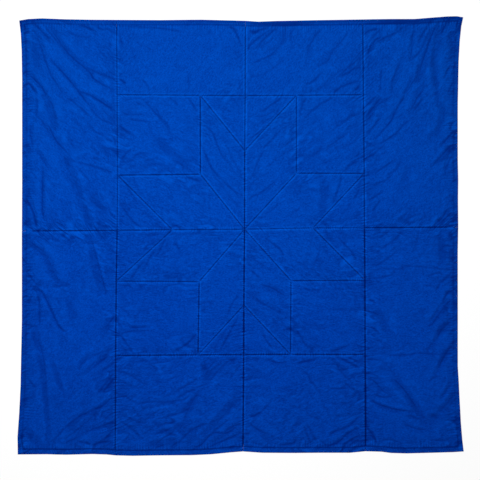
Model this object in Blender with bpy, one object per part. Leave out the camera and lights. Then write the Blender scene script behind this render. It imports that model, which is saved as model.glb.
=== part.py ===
"""Star quilt blanket: a square pieced cotton cover, lying flat and face up.

Seams alone draw an eight-pointed star of diamonds in a square block. End panels close the block above and
below, side panels run the whole height beside it, and the outer edge is a turned hem of the same cloth.
Each cut patch is one closed solid. +Z is up, +Y is the head end, the origin is the middle of the underside.
"""

import math
from collections import namedtuple

import bmesh
import bpy
from mathutils import Vector

MM = 0.001

# Cloth, in metres
CLOTH = 3.0 * MM
SEAM_GAP = 0.3 * MM
SEAM_ALLOWANCE = 10.0 * MM
HEM_WIDTH = 22.0 * MM
SEAM_HOLD = 40.0 * MM
HEM_HOLD = 66.0 * MM
COLOURS = {"point": (0.000, 0.068, 0.468), "other": (0.000, 0.062, 0.445)}
ROUGHNESS = 0.82

# Thickness across the cloth, in millimetres: distance from the line, thickness
Step = namedtuple("Step", "away thick")
SEAM_STEPS = (Step(0.0, 1.7), Step(6.0, 2.8), Step(14.0, 3.0))
HEM_STEPS = (Step(0.0, 2.2), Step(4.0, 3.8), Step(17.0, 4.2), Step(22.0, 2.3), Step(32.0, 3.0))

# Spacing of the mesh, in metres
ROW_STEP = 37.0 * MM
BLOCK_COLUMN_STEP = 40.0 * MM
SIDE_COLUMN_STEP = 29.0 * MM
SNAP = 5.0 * MM
FLAT_ANGLE = math.radians(0.2)
NARROWEST_FOLD = 19.0 * MM
FOLD_PIECES = 10
FOLD_REACH = 4.0
SWELL_SHOULDER = 1.6

# Corners where seams meet, in millimetres from the middle
CORNERS = {
    "edge_top_left": (-569, 991),
    "edge_top_mid": (22, 987),
    "edge_top_right": (560, 993),
    "edge_bottom_left": (-575, -1006),
    "edge_bottom_mid": (11, -988),
    "edge_bottom_right": (573, -987),
    "edge_left": (-1003, 23),
    "edge_right": (998, 41),
    "block_top_left": (-566, 648),
    "block_top_mid": (21, 644),
    "block_top_right": (563, 648),
    "block_left": (-566, 26),
    "block_right": (568, 38),
    "block_bottom_left": (-573, -548),
    "block_bottom_mid": (14, -543),
    "block_bottom_right": (571, -543),
    "top_left_on_top": (-185, 645),
    "top_left_on_side": (-564, 279),
    "top_left_inner": (-184, 283),
    "top_right_on_top": (256, 645),
    "top_right_on_side": (567, 287),
    "top_right_inner": (256, 288),
    "bottom_left_on_bottom": (-195, -545),
    "bottom_left_on_side": (-570, -207),
    "bottom_left_inner": (-190, -209),
    "bottom_right_on_bottom": (229, -543),
    "bottom_right_on_side": (570, -203),
    "bottom_right_inner": (231, -205),
    "apex_top": (19, 392),
    "apex_bottom": (15, -317),
    "apex_left": (-313, 29),
    "apex_right": (332, 37),
    "centre": (18, 31),
    "hem_top_left": (-1015, 988),
    "hem_top_right": (1021, 1003),
    "hem_bottom_left": (-1022, -1002),
    "hem_bottom_right": (1023, -988),
}

# Points of the uneven outer edge between those corners, in millimetres
EDGES = {
    ("hem_top_left", "edge_top_left"): ((-975, 995), (-911, 998), (-805, 994), (-690, 992)),
    ("edge_top_left", "edge_top_mid"): ((-370, 990), (-182, 992)),
    ("edge_top_mid", "edge_top_right"): ((80, 983), (167, 986), (364, 990)),
    ("edge_top_right", "hem_top_right"): ((690, 995), (800, 995), (869, 1001), (947, 1007), (993, 1008)),
    ("hem_top_right", "edge_right"): (
        (1012, 961), (1005, 895), (1000, 803), (996, 615), (996, 349), (998, 257), (997, 160)),
    ("edge_right", "hem_bottom_right"): (
        (996, -73), (996, -340), (996, -596), (1001, -674), (1005, -761), (1010, -853), (1017, -936)),
    ("hem_bottom_right", "edge_bottom_right"): (
        (974, -991), (878, -994), (763, -997), (690, -995), (644, -989)),
    ("edge_bottom_right", "edge_bottom_mid"): ((502, -994), (364, -994), (240, -995), (98, -994)),
    ("edge_bottom_mid", "edge_bottom_left"): (
        (-44, -992), (-136, -1001), (-227, -1005), (-370, -1006), (-494, -1008)),
    ("edge_bottom_left", "hem_bottom_left"): ((-613, -1002), (-682, -1000), (-801, -1003), (-893, -1001)),
    ("hem_bottom_left", "edge_left"): (
        (-1023, -922), (-1015, -807), (-1009, -688), (-1007, -573), (-1005, -491), (-1003, -385), (-1003, -180)),
    ("edge_left", "hem_top_left"): (
        (-1002, 234), (-1002, 546), (-1002, 716), (-1004, 849), (-1008, 927)),
}

# Patches: the seam corners round each one
SIDES = {
    "top_left": ("apex_top", "block_top_mid", "top_left_on_top", "top_left_inner"),
    "top_right": ("apex_top", "block_top_mid", "top_right_on_top", "top_right_inner"),
    "right_top": ("apex_right", "block_right", "top_right_on_side", "top_right_inner"),
    "right_bottom": ("apex_right", "block_right", "bottom_right_on_side", "bottom_right_inner"),
    "bottom_right": ("apex_bottom", "block_bottom_mid", "bottom_right_on_bottom", "bottom_right_inner"),
    "bottom_left": ("apex_bottom", "block_bottom_mid", "bottom_left_on_bottom", "bottom_left_inner"),
    "left_bottom": ("apex_left", "block_left", "bottom_left_on_side", "bottom_left_inner"),
    "left_top": ("apex_left", "block_left", "top_left_on_side", "top_left_inner"),
}
PANELS = {
    "end_top_left": (
        "edge_top_left", "edge_top_mid", "block_top_mid", "top_left_on_top", "block_top_left"),
    "end_top_right": (
        "edge_top_mid", "edge_top_right", "block_top_right", "top_right_on_top", "block_top_mid"),
    "end_bottom_left": (
        "block_bottom_left", "bottom_left_on_bottom", "block_bottom_mid", "edge_bottom_mid", "edge_bottom_left"),
    "end_bottom_right": (
        "block_bottom_mid", "bottom_right_on_bottom", "block_bottom_right", "edge_bottom_right",
        "edge_bottom_mid"),
    "side_left_top": (
        "edge_left", "hem_top_left", "edge_top_left", "block_top_left", "top_left_on_side", "block_left"),
    "side_left_bottom": (
        "hem_bottom_left", "edge_left", "block_left", "bottom_left_on_side", "block_bottom_left",
        "edge_bottom_left"),
    "side_right_top": (
        "edge_top_right", "hem_top_right", "edge_right", "block_right", "top_right_on_side",
        "block_top_right"),
    "side_right_bottom": (
        "edge_right", "hem_bottom_right", "edge_bottom_right", "block_bottom_right",
        "bottom_right_on_side", "block_right"),
}

# How high the slack cloth of a region swells off the surface, in millimetres
Swell = namedtuple("Swell", "x y reach_x reach_y rise")
SWELLS = (
    Swell(-790, 760, 190, 260, 7.5),
    Swell(-810, 280, 170, 300, 7.0),
    Swell(-790, -260, 190, 290, 7.0),
    Swell(-780, -740, 190, 270, 7.5),
    Swell(790, 770, 190, 260, 7.5),
    Swell(790, 300, 180, 280, 6.5),
    Swell(790, -290, 180, 300, 6.0),
    Swell(790, -760, 190, 260, 7.5),
    Swell(-260, -790, 250, 160, 4.5),
    Swell(280, -790, 230, 150, 4.0),
    Swell(-270, 820, 260, 130, 1.8),
    Swell(290, 820, 230, 130, 3.0),
    Swell(-375, 465, 160, 150, 2.4),
    Swell(412, 467, 130, 150, 2.4),
    Swell(-382, -378, 160, 140, 2.4),
    Swell(400, -374, 140, 140, 2.4),
)

# Main folds, in millimetres: soft troughs from one end past a middle point to the other end
Fold = namedtuple("Fold", "x0 y0 xm ym x1 y1 wide deep")
FOLDS = (
    # Fan from the top left corner
    Fold(-940, 968, -895, 922, -850, 880, 12, 5.0),
    Fold(-872, 970, -826, 888, -748, 800, 16, 7.0),
    Fold(-748, 800, -680, 724, -575, 660, 14, 5.0),
    Fold(-745, 805, -660, 755, -580, 725, 12, 4.0),
    Fold(-862, 805, -805, 742, -738, 660, 14, 5.0),
    Fold(-738, 655, -690, 605, -650, 550, 14, 6.0),
    Fold(-738, 660, -650, 628, -575, 575, 12, 5.0),
    Fold(-955, 950, -915, 870, -892, 780, 18, 5.0),
    Fold(-880, 760, -825, 660, -730, 590, 20, 4.0),
    # Upper left panel
    Fold(-982, 750, -925, 700, -885, 640, 15, 7.0),
    Fold(-885, 640, -872, 570, -845, 500, 22, 6.0),
    Fold(-945, 550, -958, 500, -960, 440, 10, 6.0),
    Fold(-920, 545, -875, 470, -808, 400, 18, 6.0),
    Fold(-808, 400, -795, 320, -745, 200, 30, 7.0),
    Fold(-970, 392, -925, 385, -878, 308, 12, 7.0),
    Fold(-904, 290, -908, 200, -902, 90, 12, 6.0),
    Fold(-980, 210, -950, 130, -935, 45, 10, 7.0),
    Fold(-740, 160, -710, 110, -693, 40, 14, 6.0),
    Fold(-700, 240, -655, 160, -625, 90, 25, 4.0),
    # Lower left panel
    Fold(-948, -40, -880, -115, -850, -215, 24, 8.0),
    Fold(-955, -242, -890, -285, -860, -360, 10, 6.0),
    Fold(-860, -360, -838, -412, -797, -448, 9, 6.0),
    Fold(-690, 12, -676, -80, -648, -165, 14, 5.0),
    Fold(-935, -430, -928, -485, -900, -540, 16, 6.0),
    Fold(-904, -540, -902, -620, -895, -700, 12, 5.0),
    Fold(-790, -300, -770, -345, -755, -400, 22, 4.0),
    Fold(-578, -510, -640, -562, -700, -620, 12, 6.0),
    Fold(-660, -535, -712, -562, -748, -610, 14, 5.0),
    Fold(-582, -735, -655, -792, -790, -842, 12, 6.0),
    Fold(-655, -800, -705, -855, -800, -920, 22, 5.0),
    Fold(-590, -860, -680, -885, -850, -945, 18, 6.0),
    # Fan from the top right corner
    Fold(806, 965, 786, 900, 774, 800, 12, 5.0),
    Fold(920, 980, 876, 930, 855, 850, 12, 7.0),
    Fold(855, 850, 832, 790, 815, 700, 22, 6.0),
    Fold(900, 905, 888, 800, 895, 680, 18, 6.0),
    Fold(758, 840, 722, 762, 696, 655, 16, 5.0),
    Fold(640, 910, 606, 880, 582, 800, 10, 5.0),
    Fold(645, 650, 612, 590, 590, 520, 12, 5.0),
    Fold(768, 648, 728, 592, 655, 505, 14, 6.0),
    # Upper right panel
    Fold(985, 475, 955, 452, 925, 430, 10, 6.0),
    Fold(975, 415, 940, 388, 880, 320, 10, 7.0),
    Fold(965, 385, 945, 340, 930, 285, 10, 5.0),
    Fold(968, 125, 932, 92, 900, 65, 10, 6.0),
    # Lower right panel
    Fold(972, -275, 918, -325, 862, -408, 12, 8.0),
    Fold(965, -380, 930, -432, 875, -505, 14, 7.0),
    Fold(975, -505, 940, -555, 888, -640, 14, 8.0),
    Fold(968, -655, 942, -706, 915, -745, 10, 6.0),
    Fold(985, -745, 930, -800, 860, -850, 25, 6.0),
    Fold(620, -575, 690, -622, 735, -690, 26, 4.0),
    Fold(710, -690, 768, -728, 830, -820, 14, 7.0),
    Fold(610, -758, 680, -796, 800, -808, 12, 7.0),
    Fold(750, -860, 800, -884, 870, -884, 14, 5.0),
    Fold(582, -640, 632, -690, 700, -735, 22, 4.0),
    # Bottom panels
    Fold(5, -745, -55, -792, -120, -880, 18, 6.0),
    Fold(-170, -700, -222, -762, -262, -850, 14, 4.0),
    Fold(-110, -900, -165, -935, -200, -965, 10, 5.0),
    Fold(530, -890, 480, -922, 410, -960, 14, 6.0),
    # Top right end panel
    Fold(170, 957, 115, 915, 70, 850, 12, 3.0),
    Fold(365, 950, 318, 880, 305, 760, 14, 2.0),
    Fold(475, 920, 420, 850, 335, 775, 14, 2.5),
    Fold(430, 655, 470, 690, 525, 712, 10, 3.0),
    # Corner squares of the star block
    Fold(-560, 575, -500, 562, -435, 557, 10, 2.0),
    Fold(-395, 610, -360, 530, -312, 455, 14, 2.0),
    Fold(-430, 480, -340, 405, -245, 325, 18, 2.0),
    Fold(-555, 342, -480, 358, -400, 380, 10, 2.0),
    Fold(490, 480, 420, 430, 310, 370, 14, 2.0),
    Fold(495, -502, 445, -520, 400, -540, 10, 2.4),
    Fold(-505, -420, -460, -415, -410, -420, 10, 2.0),
)


def edge_points(start, end):
    """The points strictly between two neighbouring corners of a patch, along the seam or the hem."""
    if (start, end) in EDGES:
        return EDGES[(start, end)]
    if (end, start) in EDGES:
        return tuple(reversed(EDGES[(end, start)]))
    return ()


def outline(corner_names):
    """The closed outline of a patch in metres, anticlockwise."""
    points = []
    for start, end in zip(corner_names, corner_names[1:] + corner_names[:1]):
        points.append(CORNERS[start])
        points.extend(edge_points(start, end))
    points = [Vector((x * MM, y * MM)) for x, y in points]
    area = sum(a.x * b.y - b.x * a.y for a, b in zip(points, points[1:] + points[:1]))
    return points if area > 0 else points[::-1]


def all_patches():
    """Every patch's name with the seam corners round it."""
    patches = {}
    for side, (apex, middle, corner, inner) in SIDES.items():
        patches["point_" + side] = ("centre", apex, corner, inner)
        patches["triangle_" + side] = (apex, middle, corner)
    for place in ("top_left", "top_right", "bottom_left", "bottom_right"):
        end = place.split("_")[0]
        patches["square_" + place] = (
            place + "_inner", f"{place}_on_{end}", "block_" + place, place + "_on_side")
    patches.update(PANELS)
    return patches


def segments_of(paths):
    return [(a, b) for path in paths for a, b in zip(path, path[1:])]


def hem_segments():
    """The outer edge of the whole blanket as straight pieces."""
    paths = []
    for (start, end), between in EDGES.items():
        path = (CORNERS[start],) + between + (CORNERS[end],)
        paths.append([Vector((x * MM, y * MM)) for x, y in path])
    return segments_of(paths)


def seam_segments(patches):
    """Every seam as straight pieces, each taken once."""
    seams = {}
    for corner_names in patches.values():
        for start, end in zip(corner_names, corner_names[1:] + corner_names[:1]):
            if not edge_points(start, end):
                seams[tuple(sorted((start, end)))] = None
    points = {name: Vector((x * MM, y * MM)) for name, (x, y) in CORNERS.items()}
    return [(points[start], points[end]) for start, end in seams]


def distance_to(point, segments):
    """Shortest distance from a point to straight pieces."""
    nearest = math.inf
    for a, b in segments:
        along = b - a
        share = min(1.0, max(0.0, (point - a).dot(along) / along.length_squared))
        nearest = min(nearest, (point - a - share * along).length)
    return nearest


def step_thickness(steps, away):
    """Thickness at a distance from a seam or the hem's edge, straight between the steps."""
    away /= MM
    for low, high in zip(steps, steps[1:]):
        if away <= high.away:
            share = (away - low.away) / (high.away - low.away)
            return (low.thick + share * (high.thick - low.thick)) * MM
    return steps[-1].thick * MM


def fold_path(fold):
    """Points in metres along a fold, which bends once past its middle point."""
    start = Vector((fold.x0, fold.y0)) * MM
    middle = Vector((fold.xm, fold.ym)) * MM
    end = Vector((fold.x1, fold.y1)) * MM
    handle = 2 * middle - (start + end) / 2
    path = []
    for step in range(FOLD_PIECES + 1):
        t = step / FOLD_PIECES
        path.append((1 - t) ** 2 * start + 2 * t * (1 - t) * handle + t * t * end)
    return path


FOLD_SEGMENTS = [(fold, segments_of([fold_path(fold)])) for fold in FOLDS]


def fold_depth(point):
    """How far the main folds press the cloth down at a point."""
    depth = 0.0
    for fold, segments in FOLD_SEGMENTS:
        wide = max(fold.wide * MM, NARROWEST_FOLD)
        start, end = segments[0][0], segments[-1][1]
        middle = segments[len(segments) // 2][0]
        if (point - middle).length > (end - start).length / 2 + FOLD_REACH * wide:
            continue
        depth = max(depth, fold.deep * MM * math.exp(-((distance_to(point, segments) / wide) ** 2)))
    return depth


def swell_height(point):
    """How high slack cloth would stand off the surface without its folds."""
    height = 0.0
    for swell in SWELLS:
        across = (point.x - swell.x * MM) / (swell.reach_x * MM)
        along = (point.y - swell.y * MM) / (swell.reach_y * MM)
        height = max(height, swell.rise * MM * math.exp(-((across**2 + along**2) ** SWELL_SHOULDER)))
    return height


def cloth_levels(point, seams, hem):
    """Underside and top of the cloth at a point. The underside is flat where it touches the surface."""
    from_hem = distance_to(point, hem)
    from_seam = distance_to(point, seams)
    thick = step_thickness(SEAM_STEPS, from_seam)
    if from_hem < HEM_STEPS[-1].away * MM:
        at_hem = step_thickness(HEM_STEPS, from_hem)
        thick = min(at_hem, max(thick, at_hem - CLOTH + thick))
    held = min(1.0, from_seam / SEAM_HOLD) * min(1.0, from_hem / HEM_HOLD)
    underside = max(0.0, held * swell_height(point) - fold_depth(point))
    return underside, underside + thick


def cut_rows(bm, low, high, step, direction):
    """Cuts the flat patch along evenly spaced parallel lines, so that it can bend."""
    first = math.ceil(low / step)
    last = math.floor(high / step)
    for row in range(first, last + 1):
        bmesh.ops.bisect_plane(
            bm,
            geom=bm.verts[:] + bm.edges[:] + bm.faces[:],
            dist=SNAP,
            plane_co=direction * (row * step),
            plane_no=direction,
        )


def flat_patch(points, rings):
    """A patch cut out flat: its outline, drawn in by half the seam's gap, with rings inside its edge."""
    bm = bmesh.new()
    face = bm.faces.new([bm.verts.new((p.x, p.y, 0.0)) for p in points])
    trimmed = bmesh.ops.inset_region(bm, faces=[face], thickness=SEAM_GAP / 2, use_even_offset=True)
    bmesh.ops.delete(bm, geom=trimmed["faces"], context="FACES")
    for width in rings:
        inner = max(bm.faces, key=lambda candidate: candidate.calc_area())
        bmesh.ops.inset_region(bm, faces=[inner], thickness=width, use_even_offset=True)
    return bm


def thicken(bm, seams, hem):
    """Gives the flat patch its underside and its top, with upright edges."""
    bmesh.ops.solidify(bm, geom=bm.faces[:], thickness=1.0)
    half = sum(vert.co.z for vert in bm.verts) / len(bm.verts)
    top = {vert for vert in bm.verts if vert.co.z > half}
    for vert in bm.verts:
        point = Vector((vert.co.x, vert.co.y))
        underside, upper = cloth_levels(point, seams, hem)
        vert.co.z = upper if vert in top else underside


def join_flat_underside(bm):
    """Joins the faces of the underside that lie flat on the surface."""
    edges = []
    for edge in bm.edges:
        if all(vert.co.z == 0.0 for face in edge.link_faces for vert in face.verts):
            edges.append(edge)
    bmesh.ops.dissolve_limit(bm, angle_limit=FLAT_ANGLE, verts=[], edges=edges)


def fabric(name, colour):
    """The dyed cotton of one patch."""
    material = bpy.data.materials.new(name + "_cotton")
    material.use_nodes = True
    shader = material.node_tree.nodes["Principled BSDF"]
    shader.inputs["Base Color"].default_value = (*colour, 1.0)
    shader.inputs["Roughness"].default_value = ROUGHNESS
    shader.inputs["Metallic"].default_value = 0.0
    return material


def make_patch(name, corner_names, seams, hem, collection):
    """One cut patch as a closed solid."""
    points = outline(corner_names)
    border = name in PANELS
    rings = (SEAM_ALLOWANCE, HEM_WIDTH - SEAM_ALLOWANCE) if border else (SEAM_ALLOWANCE,)
    bm = flat_patch(points, rings)
    column_step = SIDE_COLUMN_STEP if name.startswith("side") else BLOCK_COLUMN_STEP
    xs = [p.x for p in points]
    ys = [p.y for p in points]
    cut_rows(bm, min(xs), max(xs), column_step, Vector((1, 0, 0)))
    cut_rows(bm, min(ys), max(ys), ROW_STEP, Vector((0, 1, 0)))
    thicken(bm, seams, hem)
    join_flat_underside(bm)
    bmesh.ops.recalc_face_normals(bm, faces=bm.faces[:])
    mesh = bpy.data.meshes.new(name)
    bm.to_mesh(mesh)
    bm.free()
    mesh.shade_smooth()
    kind = "point" if name.startswith("point") else "other"
    mesh.materials.append(fabric(name, COLOURS[kind]))
    collection.objects.link(bpy.data.objects.new(name, mesh))


def main():
    for old in list(bpy.data.objects):
        bpy.data.objects.remove(old, do_unlink=True)
    collection = bpy.data.collections.new("star_quilt_blanket")
    bpy.context.scene.collection.children.link(collection)
    patches = all_patches()
    seams = seam_segments(patches)
    hem = hem_segments()
    for name, corner_names in patches.items():
        make_patch(name, corner_names, seams, hem, collection)


main()
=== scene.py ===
"""Looks of the star quilt blanket: royal blue cotton with seams, puckers, creases and a stitched hem.

Every patch of the frame is replaced by one thin closed sheet of the same outline. All patches read
their height from the same functions, so that folds run on across the seams. Places are in
millimetres from the middle.
"""

import math
from collections import namedtuple

import bpy
import numpy as np
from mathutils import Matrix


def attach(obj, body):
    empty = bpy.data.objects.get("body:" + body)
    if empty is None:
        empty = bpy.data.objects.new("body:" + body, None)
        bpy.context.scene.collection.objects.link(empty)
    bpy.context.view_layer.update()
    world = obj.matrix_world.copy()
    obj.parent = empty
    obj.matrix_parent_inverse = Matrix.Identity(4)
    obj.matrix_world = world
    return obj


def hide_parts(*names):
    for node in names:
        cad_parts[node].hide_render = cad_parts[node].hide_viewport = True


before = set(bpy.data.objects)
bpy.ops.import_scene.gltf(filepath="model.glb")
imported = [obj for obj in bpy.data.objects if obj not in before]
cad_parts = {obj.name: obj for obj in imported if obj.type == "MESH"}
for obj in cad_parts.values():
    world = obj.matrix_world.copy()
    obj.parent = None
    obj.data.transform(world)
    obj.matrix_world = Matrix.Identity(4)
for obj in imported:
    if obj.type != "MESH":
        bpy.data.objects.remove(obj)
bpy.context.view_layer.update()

MM = 0.001

# Cloth, in millimetres
SLACK = 1.7
SEAM_HOLD = 40.0
HEM_HOLD = 66.0
PATCH_GAP = 0.06
RIM_SHARE = 0.25
SWELL_SHOULDER = 1.6

# Corners where seams meet, in millimetres from the middle
CORNERS = {
    "edge_top_left": (-569, 991),
    "edge_top_mid": (22, 987),
    "edge_top_right": (560, 993),
    "edge_bottom_left": (-575, -1006),
    "edge_bottom_mid": (11, -988),
    "edge_bottom_right": (573, -987),
    "edge_left": (-1003, 23),
    "edge_right": (998, 41),
    "block_top_left": (-566, 648),
    "block_top_mid": (21, 644),
    "block_top_right": (563, 648),
    "block_left": (-566, 26),
    "block_right": (568, 38),
    "block_bottom_left": (-573, -548),
    "block_bottom_mid": (14, -543),
    "block_bottom_right": (571, -543),
    "top_left_on_top": (-185, 645),
    "top_left_on_side": (-564, 279),
    "top_left_inner": (-184, 283),
    "top_right_on_top": (256, 645),
    "top_right_on_side": (567, 287),
    "top_right_inner": (256, 288),
    "bottom_left_on_bottom": (-195, -545),
    "bottom_left_on_side": (-570, -207),
    "bottom_left_inner": (-190, -209),
    "bottom_right_on_bottom": (229, -543),
    "bottom_right_on_side": (570, -203),
    "bottom_right_inner": (231, -205),
    "apex_top": (19, 392),
    "apex_bottom": (15, -317),
    "apex_left": (-313, 29),
    "apex_right": (332, 37),
    "centre": (18, 31),
    "hem_top_left": (-1015, 988),
    "hem_top_right": (1021, 1003),
    "hem_bottom_left": (-1022, -1002),
    "hem_bottom_right": (1023, -988),
}

# Points of the uneven outer edge between those corners, in millimetres
EDGES = {
    ("hem_top_left", "edge_top_left"): ((-975, 995), (-911, 998), (-805, 994), (-690, 992)),
    ("edge_top_left", "edge_top_mid"): ((-370, 990), (-182, 992)),
    ("edge_top_mid", "edge_top_right"): ((80, 983), (167, 986), (364, 990)),
    ("edge_top_right", "hem_top_right"): ((690, 995), (800, 995), (869, 1001), (947, 1007), (993, 1008)),
    ("hem_top_right", "edge_right"): (
        (1012, 961), (1005, 895), (1000, 803), (996, 615), (996, 349), (998, 257), (997, 160)),
    ("edge_right", "hem_bottom_right"): (
        (996, -73), (996, -340), (996, -596), (1001, -674), (1005, -761), (1010, -853), (1017, -936)),
    ("hem_bottom_right", "edge_bottom_right"): (
        (974, -991), (878, -994), (763, -997), (690, -995), (644, -989)),
    ("edge_bottom_right", "edge_bottom_mid"): ((502, -994), (364, -994), (240, -995), (98, -994)),
    ("edge_bottom_mid", "edge_bottom_left"): (
        (-44, -992), (-136, -1001), (-227, -1005), (-370, -1006), (-494, -1008)),
    ("edge_bottom_left", "hem_bottom_left"): ((-613, -1002), (-682, -1000), (-801, -1003), (-893, -1001)),
    ("hem_bottom_left", "edge_left"): (
        (-1023, -922), (-1015, -807), (-1009, -688), (-1007, -573), (-1005, -491), (-1003, -385),
        (-1003, -180)),
    ("edge_left", "hem_top_left"): (
        (-1002, 234), (-1002, 546), (-1002, 716), (-1004, 849), (-1008, 927)),
}

# Patches: the seam corners round each one
SIDES = {
    "top_left": ("apex_top", "block_top_mid", "top_left_on_top", "top_left_inner"),
    "top_right": ("apex_top", "block_top_mid", "top_right_on_top", "top_right_inner"),
    "right_top": ("apex_right", "block_right", "top_right_on_side", "top_right_inner"),
    "right_bottom": ("apex_right", "block_right", "bottom_right_on_side", "bottom_right_inner"),
    "bottom_right": ("apex_bottom", "block_bottom_mid", "bottom_right_on_bottom", "bottom_right_inner"),
    "bottom_left": ("apex_bottom", "block_bottom_mid", "bottom_left_on_bottom", "bottom_left_inner"),
    "left_bottom": ("apex_left", "block_left", "bottom_left_on_side", "bottom_left_inner"),
    "left_top": ("apex_left", "block_left", "top_left_on_side", "top_left_inner"),
}
PANELS = {
    "end_top_left": (
        "edge_top_left", "edge_top_mid", "block_top_mid", "top_left_on_top", "block_top_left"),
    "end_top_right": (
        "edge_top_mid", "edge_top_right", "block_top_right", "top_right_on_top", "block_top_mid"),
    "end_bottom_left": (
        "block_bottom_left", "bottom_left_on_bottom", "block_bottom_mid", "edge_bottom_mid",
        "edge_bottom_left"),
    "end_bottom_right": (
        "block_bottom_mid", "bottom_right_on_bottom", "block_bottom_right", "edge_bottom_right",
        "edge_bottom_mid"),
    "side_left_top": (
        "edge_left", "hem_top_left", "edge_top_left", "block_top_left", "top_left_on_side", "block_left"),
    "side_left_bottom": (
        "hem_bottom_left", "edge_left", "block_left", "bottom_left_on_side", "block_bottom_left",
        "edge_bottom_left"),
    "side_right_top": (
        "edge_top_right", "hem_top_right", "edge_right", "block_right", "top_right_on_side",
        "block_top_right"),
    "side_right_bottom": (
        "edge_right", "hem_bottom_right", "edge_bottom_right", "block_bottom_right",
        "bottom_right_on_side", "block_right"),
}

# How high the slack cloth of a region swells off the surface, in millimetres
Swell = namedtuple("Swell", "x y reach_x reach_y rise")
SWELLS = (
    Swell(-790, 760, 190, 260, 7.5),
    Swell(-810, 280, 170, 300, 7.0),
    Swell(-790, -260, 190, 290, 7.0),
    Swell(-780, -740, 190, 270, 7.5),
    Swell(790, 770, 190, 260, 7.5),
    Swell(790, 300, 180, 280, 6.5),
    Swell(790, -290, 180, 300, 6.0),
    Swell(790, -760, 190, 260, 7.5),
    Swell(-260, -790, 250, 160, 4.5),
    Swell(280, -790, 230, 150, 4.0),
    Swell(-270, 820, 260, 130, 1.8),
    Swell(290, 820, 230, 130, 3.0),
    Swell(-375, 465, 160, 150, 2.4),
    Swell(412, 467, 130, 150, 2.4),
    Swell(-382, -378, 160, 140, 2.4),
    Swell(400, -374, 140, 140, 2.4),
)

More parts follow.
